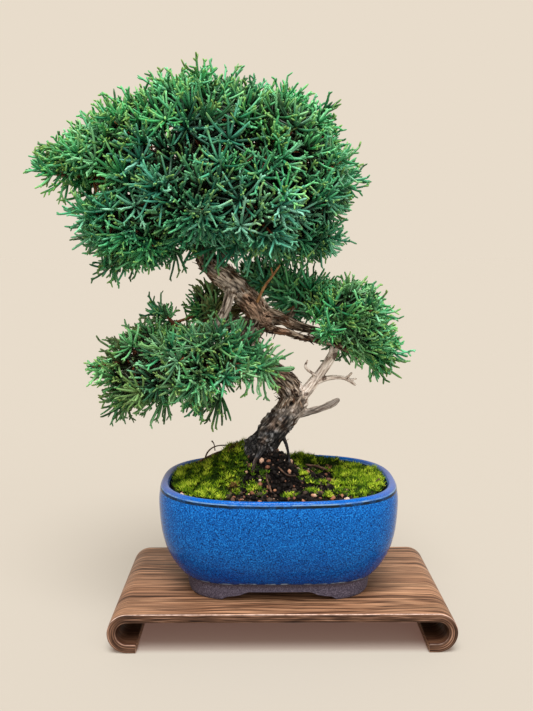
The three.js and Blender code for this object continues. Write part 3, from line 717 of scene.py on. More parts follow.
def cushionEdge(angle, key):  # the ragged plan of a cushion
    return (0.93 + 0.1 * math.sin(3 * angle + key) + 0.05 * math.sin(7 * angle + 2 * key)
            + 0.04 * math.sin(13 * angle))


def mossHump(x, y):  # humps of about 6 mm with smaller ones on them
    return noiseAt(x, y, 0.16, 5) + 0.6 * noiseAt(x, y, 0.4, 9)


def mossHeight(x, y):  # how thick moss lies above the soil at a place, and below 0 where there is none
    best = -1.0
    for key, ((cx, cy), (rx, ry), thick) in enumerate(moss["cushions"].values()):
        dx, dy = (x - cx) / rx, (y - cy) / ry
        share = math.hypot(dx, dy) / cushionEdge(math.atan2(dy, dx), key)
        if share < 1:
            best = max(best, thick * math.sqrt(1 - share ** 2.5))
    for cx, cy, radius in moss["clumps"]:
        share = math.hypot(x - cx, y - cy) / (radius * (1 + 0.35 * noiseAt(x, y, 0.5, cx)))
        if share < 1:
            best = max(best, moss["clumpHeight"] * math.sqrt(1 - share * share))
    if best > 0:
        best += moss["hump"] * mossHump(x, y) * min(1, best / 2) + mound(x, y, moss["mound"])
    return best


def makeCushion(name):
    (cx, cy), (rx, ry), thick = moss["cushions"][name]
    key = list(moss["cushions"]).index(name)
    bm = bmesh.new()
    bmesh.ops.create_uvsphere(bm, u_segments=120, v_segments=60, radius=1)
    for v in bm.verts:
        angle = math.atan2(v.co.y, v.co.x)
        reach = math.hypot(v.co.x, v.co.y) * cushionEdge(angle, key)
        x, y = cx + rx * reach * math.cos(angle), cy + ry * reach * math.sin(angle)
        inside = min(1, moss["wall"] / max(towardsWall(x, y), 1e-6))
        x, y = (m + (c - m) * inside for c, m in zip((x, y), pot["middle"]))
        if v.co.z > 0:
            lift = thick * v.co.z * (0.9 + 0.25 * noiseAt(x, y, 0.16, 5)) + mound(x, y, moss["mound"])
        else:
            lift = 1.2 * v.co.z
        v.co = (x, y, soilHeight(x, y) + lift - 0.3)
    return bm


def mossMaterial():
    # Cushion moss: soft matte leaves, bright where young and upright, olive in the shade and straw-brown
    # where withered. The shade is painted: darker in the hollows between humps and at the foot of the leaves.
    green, add = newMaterial("cushionMoss")
    along, tone, dry = (add("Attribute", out="Fac", attribute_name=name) for name in ("along", "tone", "dry"))
    fresh = add("ValToRGB", (tone,), ramp={0.0: "#1c3203", 0.3: "#426305", 0.65: "#748f10", 1.0: "#b0c038"})
    brown = add("ValToRGB", (tone,), ramp={0.0: "#2f2410", 0.5: "#5e4620", 1.0: "#94703c"})
    # painted shade: dark at the foot of each leaf and on the cushion beneath the leaves, where they shade
    # each other
    foot = add("MapRange", (along, 0.1, 0.8, 0.95, 0.0))
    colour = fresh
    for share, coat in ((dry, brown), (foot, "#0d1403")):
        colour = add("Mix", {0: share, 6: colour, 7: coat}, **asColour)
    return finishMaterial(green, {"Base Color": colour, "Roughness": 0.7, "IOR": 1.4,
                                  "Specular IOR Level": 0.12})


def leafTemplate(sides):  # a small pointed leaf, closed at its foot
    bm = bmesh.new()
    bmesh.ops.create_cone(bm, cap_ends=True, segments=sides, radius1=1, radius2=0.0, depth=1)
    bmesh.ops.translate(bm, vec=(0, 0, 0.5), verts=bm.verts)
    bmesh.ops.remove_doubles(bm, verts=bm.verts, dist=1e-4)
    return asTemplate(bm)


def nearestCushion(x, y):
    def away(name):
        (cx, cy), (rx, ry), _ = moss["cushions"][name]
        return math.hypot((x - cx) / rx, (y - cy) / ry)

    return min(moss["cushions"], key=away)


def mossStars(name):  # rows of small leaves, in stars, on the moss nearest to a cushion
    rng = np.random.default_rng(moss["seed"])
    step = moss["apart"]
    rows = []
    for x in np.arange(*moss["field"][0], step):
        for y in np.arange(*moss["field"][1], step):
            px, py = x + rng.uniform(-0.6, 0.6) * step, y + rng.uniform(-0.6, 0.6) * step
            height = mossHeight(px, py)
            if height <= 0.1 or towardsWall(px, py) > moss["wall"] or nearestCushion(px, py) != name:
                continue
            # the tone rises on the tops of the humps and falls between them, painted light and shade, over
            # random patches of young growth
            young = (0.33 + 0.6 * noiseAt(px, py, 0.5, 2) + 0.4 * noiseAt(px, py, 0.09, 21)
                     + 0.8 * mossHump(px, py))
            withered = max(1.2 - math.hypot(px - bx, py - by) / r for (bx, by), r in moss["brown"])
            withered += 0.5 * noiseAt(px, py, 0.3, 8)
            size = rng.uniform(*moss["leaf"]) * (0.75 + 0.35 * min(height / 3, 1))
            turn = rng.uniform(0, 2 * math.pi)
            starTone = rng.uniform(-0.35, 0.35)
            foot = (px, py, soilHeight(px, py) + height - 0.8)
            for i in range(moss["leavesPerStar"]):
                lean = 0.15 if i == 0 else rng.uniform(0.35, 1.0)
                around = turn + i * 2.4
                chord = Vector((math.sin(lean) * math.cos(around), math.sin(lean) * math.sin(around),
                                math.cos(lean))) * (size * rng.uniform(0.75, 1.1) + 0.5)
                tone = np.clip(young + starTone + rng.uniform(-0.2, 0.2), 0, 1)
                dry = 1.0 if withered + rng.uniform(-0.35, 0.35) > 0.5 else 0.0
                rows.append((*foot, *chord, 0, 0, 0, moss["leafRadius"], tone, dry))
    return np.array(rows)


mossFinish = mossMaterial()
mossLeaf = leafTemplate(3)
for cushionName in moss["cushions"]:
    crowd = Crowd()
    cushionTemplate = asTemplate(makeCushion(cushionName))
    # the cushion under the leaves takes the dark of their feet, painted shade
    crowd.add(cushionTemplate, cushionTemplate["points"][None], along=0.12, tone=0.3, dry=0.0)
    leaves = mossStars(cushionName)
    crowd.add(mossLeaf, placeCords(mossLeaf, leaves), along=mossLeaf["points"][None, :, 2],
              tone=leaves[:, 10:11], dry=leaves[:, 11:12])
    mossName = pieceName(cushionName)
    mossPiece = newPiece(mossName, crowd.mesh(mossName), mossFinish, [cushionName])
    print("moss made:", mossName, len(mossPiece.data.polygons), "faces")


wood = {  # each limb is a list of points with a radius, mm
    "trunk": [
        [(-24, 1, 86, 9.4), (-19.5, 0.5, 99, 10), (-15.5, 0, 109, 9.5), (-6.8, -0.5, 121, 8.6),
         (2.9, -1, 133, 8.3), (8, -1, 141.5, 8.5), (10.8, -1, 145.5, 7)],
        [(9.5, -1, 139, 7.6), (7.5, -0.5, 148, 8), (-2, 0.5, 158.5, 7.2), (-12, 2, 165, 6.8),
         (-18.5, 3, 173.5, 6.5), (-19.5, 3, 183, 6.4), (-15.5, 1.5, 191.5, 6.8), (-12.5, 0, 197, 6)],
        [(-9, 1, 191, 5.6), (-13, 0, 197.5, 7.3), (-18, -1, 204.5, 7.1), (-26, -1.5, 213, 7.1),
         (-36, -1, 221.8, 7.2), (-45, 0.5, 229.5, 6.5), (-50, 2.5, 239, 4.9), (-49, 4, 252, 4.2),
         (-46, 4, 268, 3.3), (-48, 2, 284, 2.6), (-54, 0, 298, 1.9)],
    ],
    "bleached": [
        [(9, -1, 141, 3.8), (15, -1.5, 148, 4.0), (20, -2, 154, 3.6), (25, -2, 161, 3.2),
         (30.5, -1.5, 168.8, 3.1), (33.5, -1.2, 173, 2.4)],
        [(31, -1.5, 169.5, 2.2), (34, -1.4, 174, 1.7), (37, -1, 178.6, 1.3)],
        [(30, -2, 169, 1.9), (31.5, -3, 174.5, 1.3), (32.4, -3.4, 179, 0.9)],
        [(20, -2, 153.5, 1.9), (27, -3.5, 156.8, 1.8), (34, -5, 158.2, 1.45), (41, -6, 157.4, 1.3),
         (46.8, -6.5, 153.6, 0.9)],
        [(40.5, -6, 157.4, 1), (44.2, -7.5, 161.5, 0.7)],
        [(42, -6, 157, 0.9), (47.5, -7, 157.6, 0.6)],
        [(25.5, -2.5, 156.5, 1.3), (20, -5, 160.6, 1.15), (15, -6.5, 165, 0.95), (16.6, -7, 169.6, 0.6)],
    ],
    "weathered": [
        [(6, -1, 133, 3), (16, -2, 134.8, 2.5), (26, -3, 138.2, 2.2), (33, -4, 141.6, 2.1),
         (36.5, -4.2, 143.6, 1.4)],
        [(31, -3.8, 140.4, 2.0), (34.6, -3.6, 141.2, 1.2)],
        [(-30, -3, 216, 3), (-33.5, -6.5, 205, 2.8), (-38.5, -7, 194, 3.1), (-46, -4, 185.5, 2.2)],
    ],
    "roots": [
        [(1, -1.5, 121, 1.3), (4, -3, 112.5, 1.05), (5.5, -4, 104.5, 0.95), (6.5, -4.5, 96, 0.9)],
        [(-11, -5, 115, 3), (-14.5, -12, 109.5, 1.7), (-17, -16, 105.5, 1.2), (-18, -18, 101, 0.9)],
        [(-13, 4, 110, 4.6), (-6, 13, 102, 3), (2, 22, 95.5, 1.8), (6, 28, 88, 1.2)],
    ],
    "gnarled": [
        [(-14, 0, 198, 5), (-1, -1, 195.5, 3.7), (10, -1, 190.5, 3.1), (22, -1.5, 187, 2.5),
         (40, -3, 185, 1.8)],
        [(-12, -3, 191, 3.2), (-2, -5, 188, 2.2), (11, -7, 184.5, 1.7), (24, -8, 181, 1.4),
         (38, -9, 177.5, 1.1), (47, -9, 171.5, 0.8)],
        [(-18, 1, 193, 4), (-33, 2, 191, 3.4), (-56, -1, 182, 2.6), (-85, -4, 168, 1.8)],
    ],
    "branches": [
        [(-47, 1, 234, 3.4), (-68, -2, 249, 2.8), (-93, -1, 268, 2.3), (-112, -1, 284, 1.8)],
        [(-49, 4, 251, 2.8), (-64, 7, 274, 2.2), (-82, 6, 292, 1.7)],
        [(-48, 2, 284, 2.4), (-54, -1, 298, 1.9), (-54, -1, 308, 1.5)],
        [(-46, 4, 267, 2.7), (-30, 6, 284, 2.1), (-13, 4, 297, 1.6)],
        [(-48, 4, 258, 2.9), (-24, 3, 268, 2.2), (8, 0, 278, 1.6)],
        [(-44, 1, 231, 3), (-28, 5, 237, 2.5), (-10, 5, 242, 2), (4, 3, 248, 1.6)],
        [(-48, 0, 236, 2.9), (-64, -5, 246, 2.3), (-86, -9, 254, 1.7)],
        [(-50, 2, 242, 2.6), (-53, -13, 254, 2), (-55, -25, 265, 1.6)],
        [(-49, 4, 254, 2.6), (-34, -12, 260, 2), (-18, -24, 264, 1.6)],
        [(-49, 4, 248, 2.8), (-49, 18, 258, 2.2), (-46, 33, 270, 1.7)],
        [(-40, 2, 188, 2.6), (-54, 6, 187, 2.1), (-66, 9, 188, 1.6)],
        [(-21, 0, 184, 3), (-31, -12, 179, 2.3), (-43, -21, 172, 1.7)],
        [(-20, 2, 190, 2.8), (-32, 10, 192, 2.1), (-41, 16, 195, 1.6)],
        [(2, 0, 193, 2.8), (9, 9, 200, 2.1), (15, 17, 208, 1.6)],
    ],
    "twigs": [
        [(-15, -8.5, 206, 0.9), (-11, -10, 214.7, 0.8), (-5.3, -11, 222.6, 0.75), (-1.1, -12, 228.7, 0.6)],
        [(-5.3, -11, 222.6, 0.6), (-6.5, -12, 227, 0.45)],
        [(-56.5, 22, 95.5, 0.8), (-49.4, 18, 99.8, 1.0), (-41.2, 14, 104.3, 1.1), (-33, 10, 108, 1.0),
         (-27, 8, 109.6, 0.8)],
        [(-50, 13, 98, 0.5), (-48.6, 12, 104.5, 0.5), (-44.5, 11, 109, 0.48), (-38.3, 10, 110.8, 0.45),
         (-31, 8, 110.6, 0.4)],
        [(-43, 11, 107, 0.35), (-43.6, 11, 111.4, 0.35), (-45, 11, 113.4, 0.6)],
        [(-9.6, -12.3, 104, 0.75), (-9.4, -17, 101.3, 0.7), (-9, -23, 97, 0.65), (-6.5, -33, 92.4, 0.6)],
        [(-2, -14, 102.6, 0.6), (3.5, -19, 99, 0.55), (9, -16, 97.5, 0.5)],
        [(17, 12, 97, 0.6), (25, 18, 94.2, 0.7), (32, 17, 91.8, 0.5)],
        [(58, -19, 94, 0.5), (61, -16.5, 95.4, 0.5), (62, -14.6, 95, 0.4)],
    ],
    "voxel": {"trunk": 0.55, "branches": 0.7},
    "ringSpacing": 1.5,
    "lumps": {"trunk": 0.22, "weathered": 0.4, "twigs": 0.3},  # share of the radius, 0.2 for other limbs
    "ridge": {"trunk": 0.85, "bleached": 0.24, "weathered": 0.4, "roots": 0.3, "gnarled": 0.75,
              "branches": 0.3},
    "dead": {"bleached": 1.0, "weathered": 0.45},  # how silvery a limb is
    "twist": 0.05,  # radians that the grain winds round a limb in a mm
    "lumpy": (150, 14),  # height below which the bark of the trunk is lumpy, and how fast it gets so
    "noduleSpacing": 3.6,  # mm between the round scars low on the trunk
    "knots": [((6.5, -9.5, 142), 2.3, 1.9), ((-9, -9.5, 201), 2.6, 1.2), ((-3, -9, 128), 1.7, 0.9)],
    "patches": {  # middle and reach of pale smooth places and of rusty folded ones
        "pale": [((-28, -8, 213), 9), ((-41, -6, 227), 6), ((-36, -8, 220), 6), ((4, -9, 150), 3.5),
                 ((-46, -6, 234), 5)],
        "rust": [((-17, -8, 203), 8), ((-9, -8, 196), 7), ((-22, -7, 208), 4)],
    },
    "shreds": [  # limb, its number, from and to along it, and how many strips
        ("trunk", 0, 0.55, 1.0, 30), ("trunk", 1, 0.0, 1.0, 120), ("trunk", 2, 0.05, 0.5, 70),
        ("gnarled", 0, 0.1, 1.0, 80), ("gnarled", 1, 0.0, 1.0, 110), ("gnarled", 2, 0.1, 0.8, 60),
    ],
    "shredSeed": 5,
}

Ring = namedtuple("Ring", "place way side other radius run")


def limbRings(points):  # rings of a limb, evenly spaced, with frames that don't twist
    line = np.array(smoothThrough(points, 12))
    places, radii = line[:, :3], line[:, 3]
    run = np.concatenate([[0], np.cumsum(np.linalg.norm(np.diff(places, axis=0), axis=1))])
    count = max(2, int(run[-1] / wood["ringSpacing"]))
    steps = np.linspace(0, run[-1], count + 1)
    places = np.stack([np.interp(steps, run, places[:, k]) for k in range(3)], 1)
    radii = np.interp(steps, run, radii)
    ways = unit(np.gradient(places, axis=0))
    side = Vector(ways[0]).orthogonal().normalized()
    rings = []
    for place, way, radius, step in zip(places, ways, radii, steps):
        way = Vector(way)
        side = (side - way * side.dot(way)).normalized()
        rings.append(Ring(Vector(place), way, side.copy(), way.cross(side), float(radius), float(step)))
    return rings


def addLimbs(bm, kind, sides=20):  # tapered tubes, a little uneven, closed by round ends
    lumps = wood["lumps"].get(kind, 0.2)
    for points in wood[kind]:
        rings = limbRings(points)
        for end, outward in ((0, -0.5), (-1, 0.5)):
            ring = rings[end]
            beyond = ring.place + ring.way * ring.radius * outward
            cap = ring._replace(place=beyond, radius=ring.radius * 0.55)
            rings.insert(0 if end == 0 else len(rings), cap)
        loops = []
        for ring in rings:
            loop = []
            for i in range(sides):
                out = leaning(ring.side, ring.other, 2 * math.pi * i / sides)
                spot = ring.place + out * ring.radius
                loop.append(bm.verts.new(spot + out * ring.radius * lumps * noise.noise(spot * 0.11)))
            loops.append([bm.edges.new((a, b)) for a, b in zip(loop, loop[1:] + loop[:1])])
        for one, two in zip(loops, loops[1:]):
            bmesh.ops.bridge_loops(bm, edges=one + two)
        for loop in (loops[0], loops[-1]):
            bmesh.ops.holes_fill(bm, edges=loop, sides=sides)


def barkCoordinates(mesh, kinds):  # which limb each point belongs to, and its place round and along it
    samples = [(ring, kind, number) for kind in kinds for number, points in enumerate(wood[kind])
               for ring in limbRings(points)]
    tree = KDTree(len(samples))
    for i, (ring, _, _) in enumerate(samples):
        tree.insert(ring.place, i)
    tree.balance()
    grain, owner = [], []
    for vertex in mesh.vertices:
        nearest = [(distance - samples[i][0].radius, i) for _, i, distance in tree.find_n(vertex.co, 6)]
        ring, kind, number = samples[min(nearest, key=lambda pair: pair[0])[1]]
        offset = vertex.co - ring.place
        # each limb of a kind has a stretch of grain of its own
        grain.append((offset.dot(ring.side), offset.dot(ring.other),
                      ring.run + offset.dot(ring.way) + 300 * number))
        owner.append(kind)
    return grain, owner


def grainNoise(u, v, s, fine, long, shift=(0, 0, 0)):  # noise drawn out along a limb
    return noise.noise(Vector((u * fine, v * fine, s * long)) + Vector(shift))


def makeWood(kinds, name):
    bm = bmesh.new()
    for kind in kinds:
        addLimbs(bm, kind)
    bmesh.ops.recalc_face_normals(bm, faces=bm.faces)
    mesh = withModifiers(meshFrom(bm, name), ("REMESH", {"mode": "VOXEL", "voxel_size": wood["voxel"][name]}),
                         ("SMOOTH", {"factor": 0.5, "iterations": 3}))
    grain, owner = barkCoordinates(mesh, kinds)
    values = {key: [] for key in ("dead", "relief", "nodule", *wood["patches"])}
    normals = [n.vector.copy() for n in mesh.vertex_normals]
    start, fade = wood["lumpy"]
    for vertex, normal, (u, v, s), kind in zip(mesh.vertices, normals, grain, owner):
        spot = vertex.co.copy()
        sine, cosine = math.sin(s * wood["twist"]), math.cos(s * wood["twist"])
        turned = (u * cosine - v * sine, u * sine + v * cosine, s)
        fibre = 1 - abs(grainNoise(*turned, 0.6, 0.06)) * 2.8
        plate = grainNoise(*turned, 0.22, 0.12, (7, 3, 1))
        crack = max(1 - abs(grainNoise(*turned, 0.32, 0.05, (2, 9, 4))) * 7, 0)
        lump = noise.noise(spot * 0.33) + 0.7 * noise.noise(spot * 0.7)
        low = clamp((start - spot.z) / fade) if kind == "trunk" else 0  # lumpy below, fibrous above
        for key, spots in wood["patches"].items():
            near = max(1 - (spot - Vector(middle)).length / reach for middle, reach in spots)
            near = max(0, near + 0.25 * noise.noise(spot * 0.4))
            values[key].append(near if kind in ("trunk", "gnarled") else 0)
        nodule = max(0, 1 - noise.voronoi(spot / wood["noduleSpacing"])[0][0] / 0.45) * low
        height = (0.5 * fibre + 0.8 * plate - 0.8 * crack) * (1 - 0.6 * low) + 0.7 * lump * (0.35 + 0.4 * low)
        height += 0.9 * min(nodule * 2, 1)
        vertex.co = spot + normal * wood["ridge"][kind] * height
        values["dead"].append(wood["dead"].get(kind, 0.0))
        values["relief"].append(height)
        values["nodule"].append(nodule)
    for middle, reach, sink in wood["knots"]:  # round scars of old branches, with a raised lip
        for i, vertex in enumerate(mesh.vertices):
            away = (vertex.co - Vector(middle)).length / reach
            if away < 1.7:
                lip = math.exp(-((away - 1.1) / 0.28) ** 2) * 0.35
                change = lip - math.exp(-(away / 0.75) ** 2)
                vertex.co += normals[i] * change * sink
                # the sunken middle is also marked in the relief, which paints shade into the bark's colour
                values["relief"][i] += change * 1.6
    setValues(mesh, "grain", grain, "FLOAT_VECTOR", "vector")
    for key, numbers in values.items():
        setValues(mesh, key, numbers)
    return mesh


def barkMaterial():
    # Juniper bark: fibrous and flaking, almost black and lumpy low on the trunk, grey-brown with tan
    # patches above, and silver-grey where the wood is dead. Dry and matte throughout.
    bark, add = newMaterial("juniperBark")
    grain = add("Attribute", out="Vector", attribute_name="grain")
    dead, relief, nodule, pale, rust = (add("Attribute", out="Fac", attribute_name=name)
                                        for name in ("dead", "relief", "nodule", "pale", "rust"))
    place = add("TexCoord", out="Object")
    height = add("Math", (add("SeparateXYZ", (place,), 2), 1000.0), **times)  # mm above the table
    drawn = add("VectorMath", (grain, (0.8, 0.8, 0.12)), **times)
    fibres = add("TexNoise", {"Vector": drawn, "Scale": 1.0, "Detail": 5.0, "Roughness": 0.7})
    strips = add("TexVoronoi", {"Vector": drawn, "Scale": 0.42}, feature="DISTANCE_TO_EDGE")
    lumps = add("TexVoronoi", {"Vector": place, "Scale": 330.0})  # 3 mm
    blotch, tanned, bare, warm = (  # 8, 13, 22 and 17 mm
        add("TexNoise", {"Vector": place, "Scale": scale, "Detail": detail})
        for scale, detail in ((130.0, 4.0), (75.0, 3.0), (45.0, 2.0), (60.0, 3.0)))
    tones = (
        {0.36: "#070709", 0.45: "#191a1e", 0.52: "#333437", 0.59: "#5c5a59", 0.68: "#938f8b"},
        {0.38: "#110b08", 0.5: "#43342a", 0.64: "#806b5d"},
        {0.36: "#0e0906", 0.43: "#4a3a2e", 0.49: "#84715f", 0.56: "#ad9b8a", 0.65: "#d6c8b8"},
        {0.3: "#76655a", 0.5: "#a8998c", 0.7: "#cfc2b5"},
        {0.36: "#85766a", 0.62: "#d2c6ba"},
        {0.36: "#2e1a12", 0.62: "#dcb69c"},
        {0.32: "#5e4a3f", 0.4: "#a8968a", 0.5: "#dccfc4", 0.62: "#f6eee7"},
    )
    low, tan, high, smooth, paleTone, rustTone, silver = (
        add("ValToRGB", (fibres,), ramp=ramp) for ramp in tones)
    # the grey on the round scars low on the trunk is partly their own colour and partly a painted highlight
    # on the tops of the knobs
    for limits, coat in (((lumps, 0.4, 0.66, 0.0, 0.7), "#0b0908"), ((tanned, 0.5, 0.62, 0.0, 0.65), tan),
                         ((nodule, 0.1, 0.5, 0.0, 0.65), "#7a7a7b")):
        low = add("Mix", {0: add("MapRange", limits), 6: low, 7: coat}, **asColour)
    high = add("Mix", {0: add("MapRange", (bare, 0.53, 0.57, 0.0, 0.8)), 6: high, 7: smooth}, **asColour)
    rise = add("Math", (blotch, 50.0, height), operation="MULTIPLY_ADD")
    upward = add("MapRange", (rise, 150.0, 180.0, 0.0, 1.0))
    warmth = add("Math", (add("MapRange", (warm, 0.52, 0.66, 0.0, 0.6)), upward), **times)
    scraps = add("MapRange", (blotch, 0.6, 0.63, 0.0, 0.85))
    silver = add("Mix", {0: scraps, 6: silver, 7: "#4a3326"}, **asColour)
    alive = add("MapRange", (dead, 0.0, 1.0, 1.0, 0.35))
    split = add("Math", (add("MapRange", (strips, 0.0, 0.09, 0.75, 0.0)), alive), **times)
    colour = low
    for share, coat in ((upward, high), (warmth, "#7a4f38"),
                        (add("MapRange", (pale, 0.12, 0.4, 0.0, 0.85)), paleTone),
                        (add("MapRange", (rust, 0.12, 0.4, 0.0, 0.85)), rustTone),
                        (dead, silver), (split, "#0e0a08")):
        colour = add("Mix", {0: share, 6: colour, 7: coat}, **asColour)
    # painted shade and light: darker where the bark is sunk and lighter on its raised ridges, less so on dead
    # wood
    reliefShade = add("MapRange", (relief, -0.9, 0.6, 0.12, 1.25))
    shade = add("CombineXYZ", (reliefShade, reliefShade, reliefShade))
    colour = add("Mix", {0: alive, 6: colour, 7: shade}, blend_type="MULTIPLY", **asColour)
    bump = add("Bump", {"Height": fibres, "Strength": 0.75, "Distance": 0.0008})
    return finishMaterial(bark, {"Base Color": colour, "Normal": bump, "Roughness": 0.85, "IOR": 1.45,
                                 "Specular IOR Level": 0.2})


barkFinish = barkMaterial()
trunkPiece = newPiece("trunk", makeWood(["trunk", "bleached", "weathered", "roots", "gnarled"], "trunk"),
                      barkFinish, ["trunk_and_branches"])
branchPiece = newPiece("branches", makeWood(["branches"], "branches"), barkFinish)
print("trunk made:", len(trunkPiece.data.polygons), "faces")


def makeShreds():  # strips of loose bark that stand off the trunk
    rng = random.Random(wood["shredSeed"])
    tree = BVHTree.FromPolygons([fromFrame @ v.co for v in trunkPiece.data.vertices],
                                [p.vertices[:] for p in trunkPiece.data.polygons])
    bm = bmesh.new()
    bmesh.ops.create_cube(bm, size=1)
    bmesh.ops.translate(bm, vec=(0, 0, 0.5), verts=bm.verts)
    cutAcross(bm, (0.25, 0.5, 0.75))
    strip = asTemplate(bm)
    rows = []
    for kind, number, first, last, count in wood["shreds"]:
        rings = limbRings(wood[kind][number])
        for _ in range(count):
            ring = rings[int(rng.uniform(first, last) * (len(rings) - 1))]
            out = leaning(ring.side, ring.other, rng.uniform(0, 2 * math.pi))
            foot = tree.ray_cast(ring.place + out * ring.radius * 3, -out)[0]
            if foot is None:
                continue
            along = ring.way * rng.choice((-1, 1))
            way = leaning(along, out, math.radians(rng.uniform(4, 26)))
            flat = way.cross(out).normalized()
            rows.append((foot - out * 0.4, way * rng.uniform(2.5, 5.5), flat * rng.uniform(0.9, 2.4),
                         flat.cross(way).normalized() * rng.uniform(0.3, 0.5), out * rng.uniform(-0.4, 0.7),
                         rng.random()))
    start, chord, wide, thick, curl = (np.array([r[i] for r in rows])[:, None] for i in range(5))
    points = strip["points"]
    share = points[:, 2:3]
    places = (start + chord * share + (wide * points[:, 0:1] + thick * points[:, 1:2]) * (1 - 0.6 * share)
              + curl * share ** 2)
    crowd = Crowd()
    crowd.add(strip, places, tone=np.array([r[5] for r in rows])[:, None])
    return crowd.mesh("barkShreds")


def shredMaterial():
    # Peeling juniper bark: thin dry strips, red-brown inside and grey outside.
    shred, add = newMaterial("peelingBark")
    base = add("ValToRGB", (add("Attribute", out="Fac", attribute_name="tone"),), ramp={
        0.0: "#1a120e", 0.4: "#3a2a20", 0.7: "#5f4433", 1.0: "#85705f"})
    fine = add("TexNoise", {"Vector": add("TexCoord", out="Object"), "Scale": 800.0, "Detail": 3.0})
    dark = add("MapRange", (fine, 0.35, 0.65, 0.6, 0.0))
    colour = add("Mix", {0: dark, 6: base, 7: "#17100c"}, **asColour)
    return finishMaterial(shred, {"Base Color": colour, "Roughness": 0.9, "IOR": 1.45,
                                  "Specular IOR Level": 0.15})


def makeDeadTwigs():  # bare roots and twigs on and above the soil, and one bare twig high on the trunk
    bm = bmesh.new()
    addLimbs(bm, "twigs", 8)
    bmesh.ops.recalc_face_normals(bm, faces=bm.faces)
    return bm


def twigMaterial():
    # Bare twig: thin smooth bark, orange-tan to dark brown, slightly polished by weather.
    twig, add = newMaterial("bareTwigBark")
    place = add("TexCoord", out="Object")
    mottle = add("TexNoise", {"Vector": place, "Scale": 350.0, "Detail": 4.0})
    tan = add("ValToRGB", (mottle,), ramp={0.35: "#5a3a22", 0.5: "#86603c", 0.7: "#a98055"})
    brown = add("ValToRGB", (mottle,), ramp={0.35: "#1c120c", 0.5: "#3f2a1d", 0.7: "#6e5240"})
    up = add("MapRange", (add("SeparateXYZ", (place,), 2), 0.16, 0.19, 0.0, 1.0))
    colour = add("Mix", {0: up, 6: brown, 7: tan}, **asColour)
    return finishMaterial(twig, {"Base Color": colour, "Roughness": 0.7, "IOR": 1.45,
                                 "Specular IOR Level": 0.3})


shredPiece = newPiece("barkShreds", makeShreds(), shredMaterial())
twigPiece = newPiece("bareTwigs", makeDeadTwigs(), twigMaterial())
print("bark strips and twigs made")


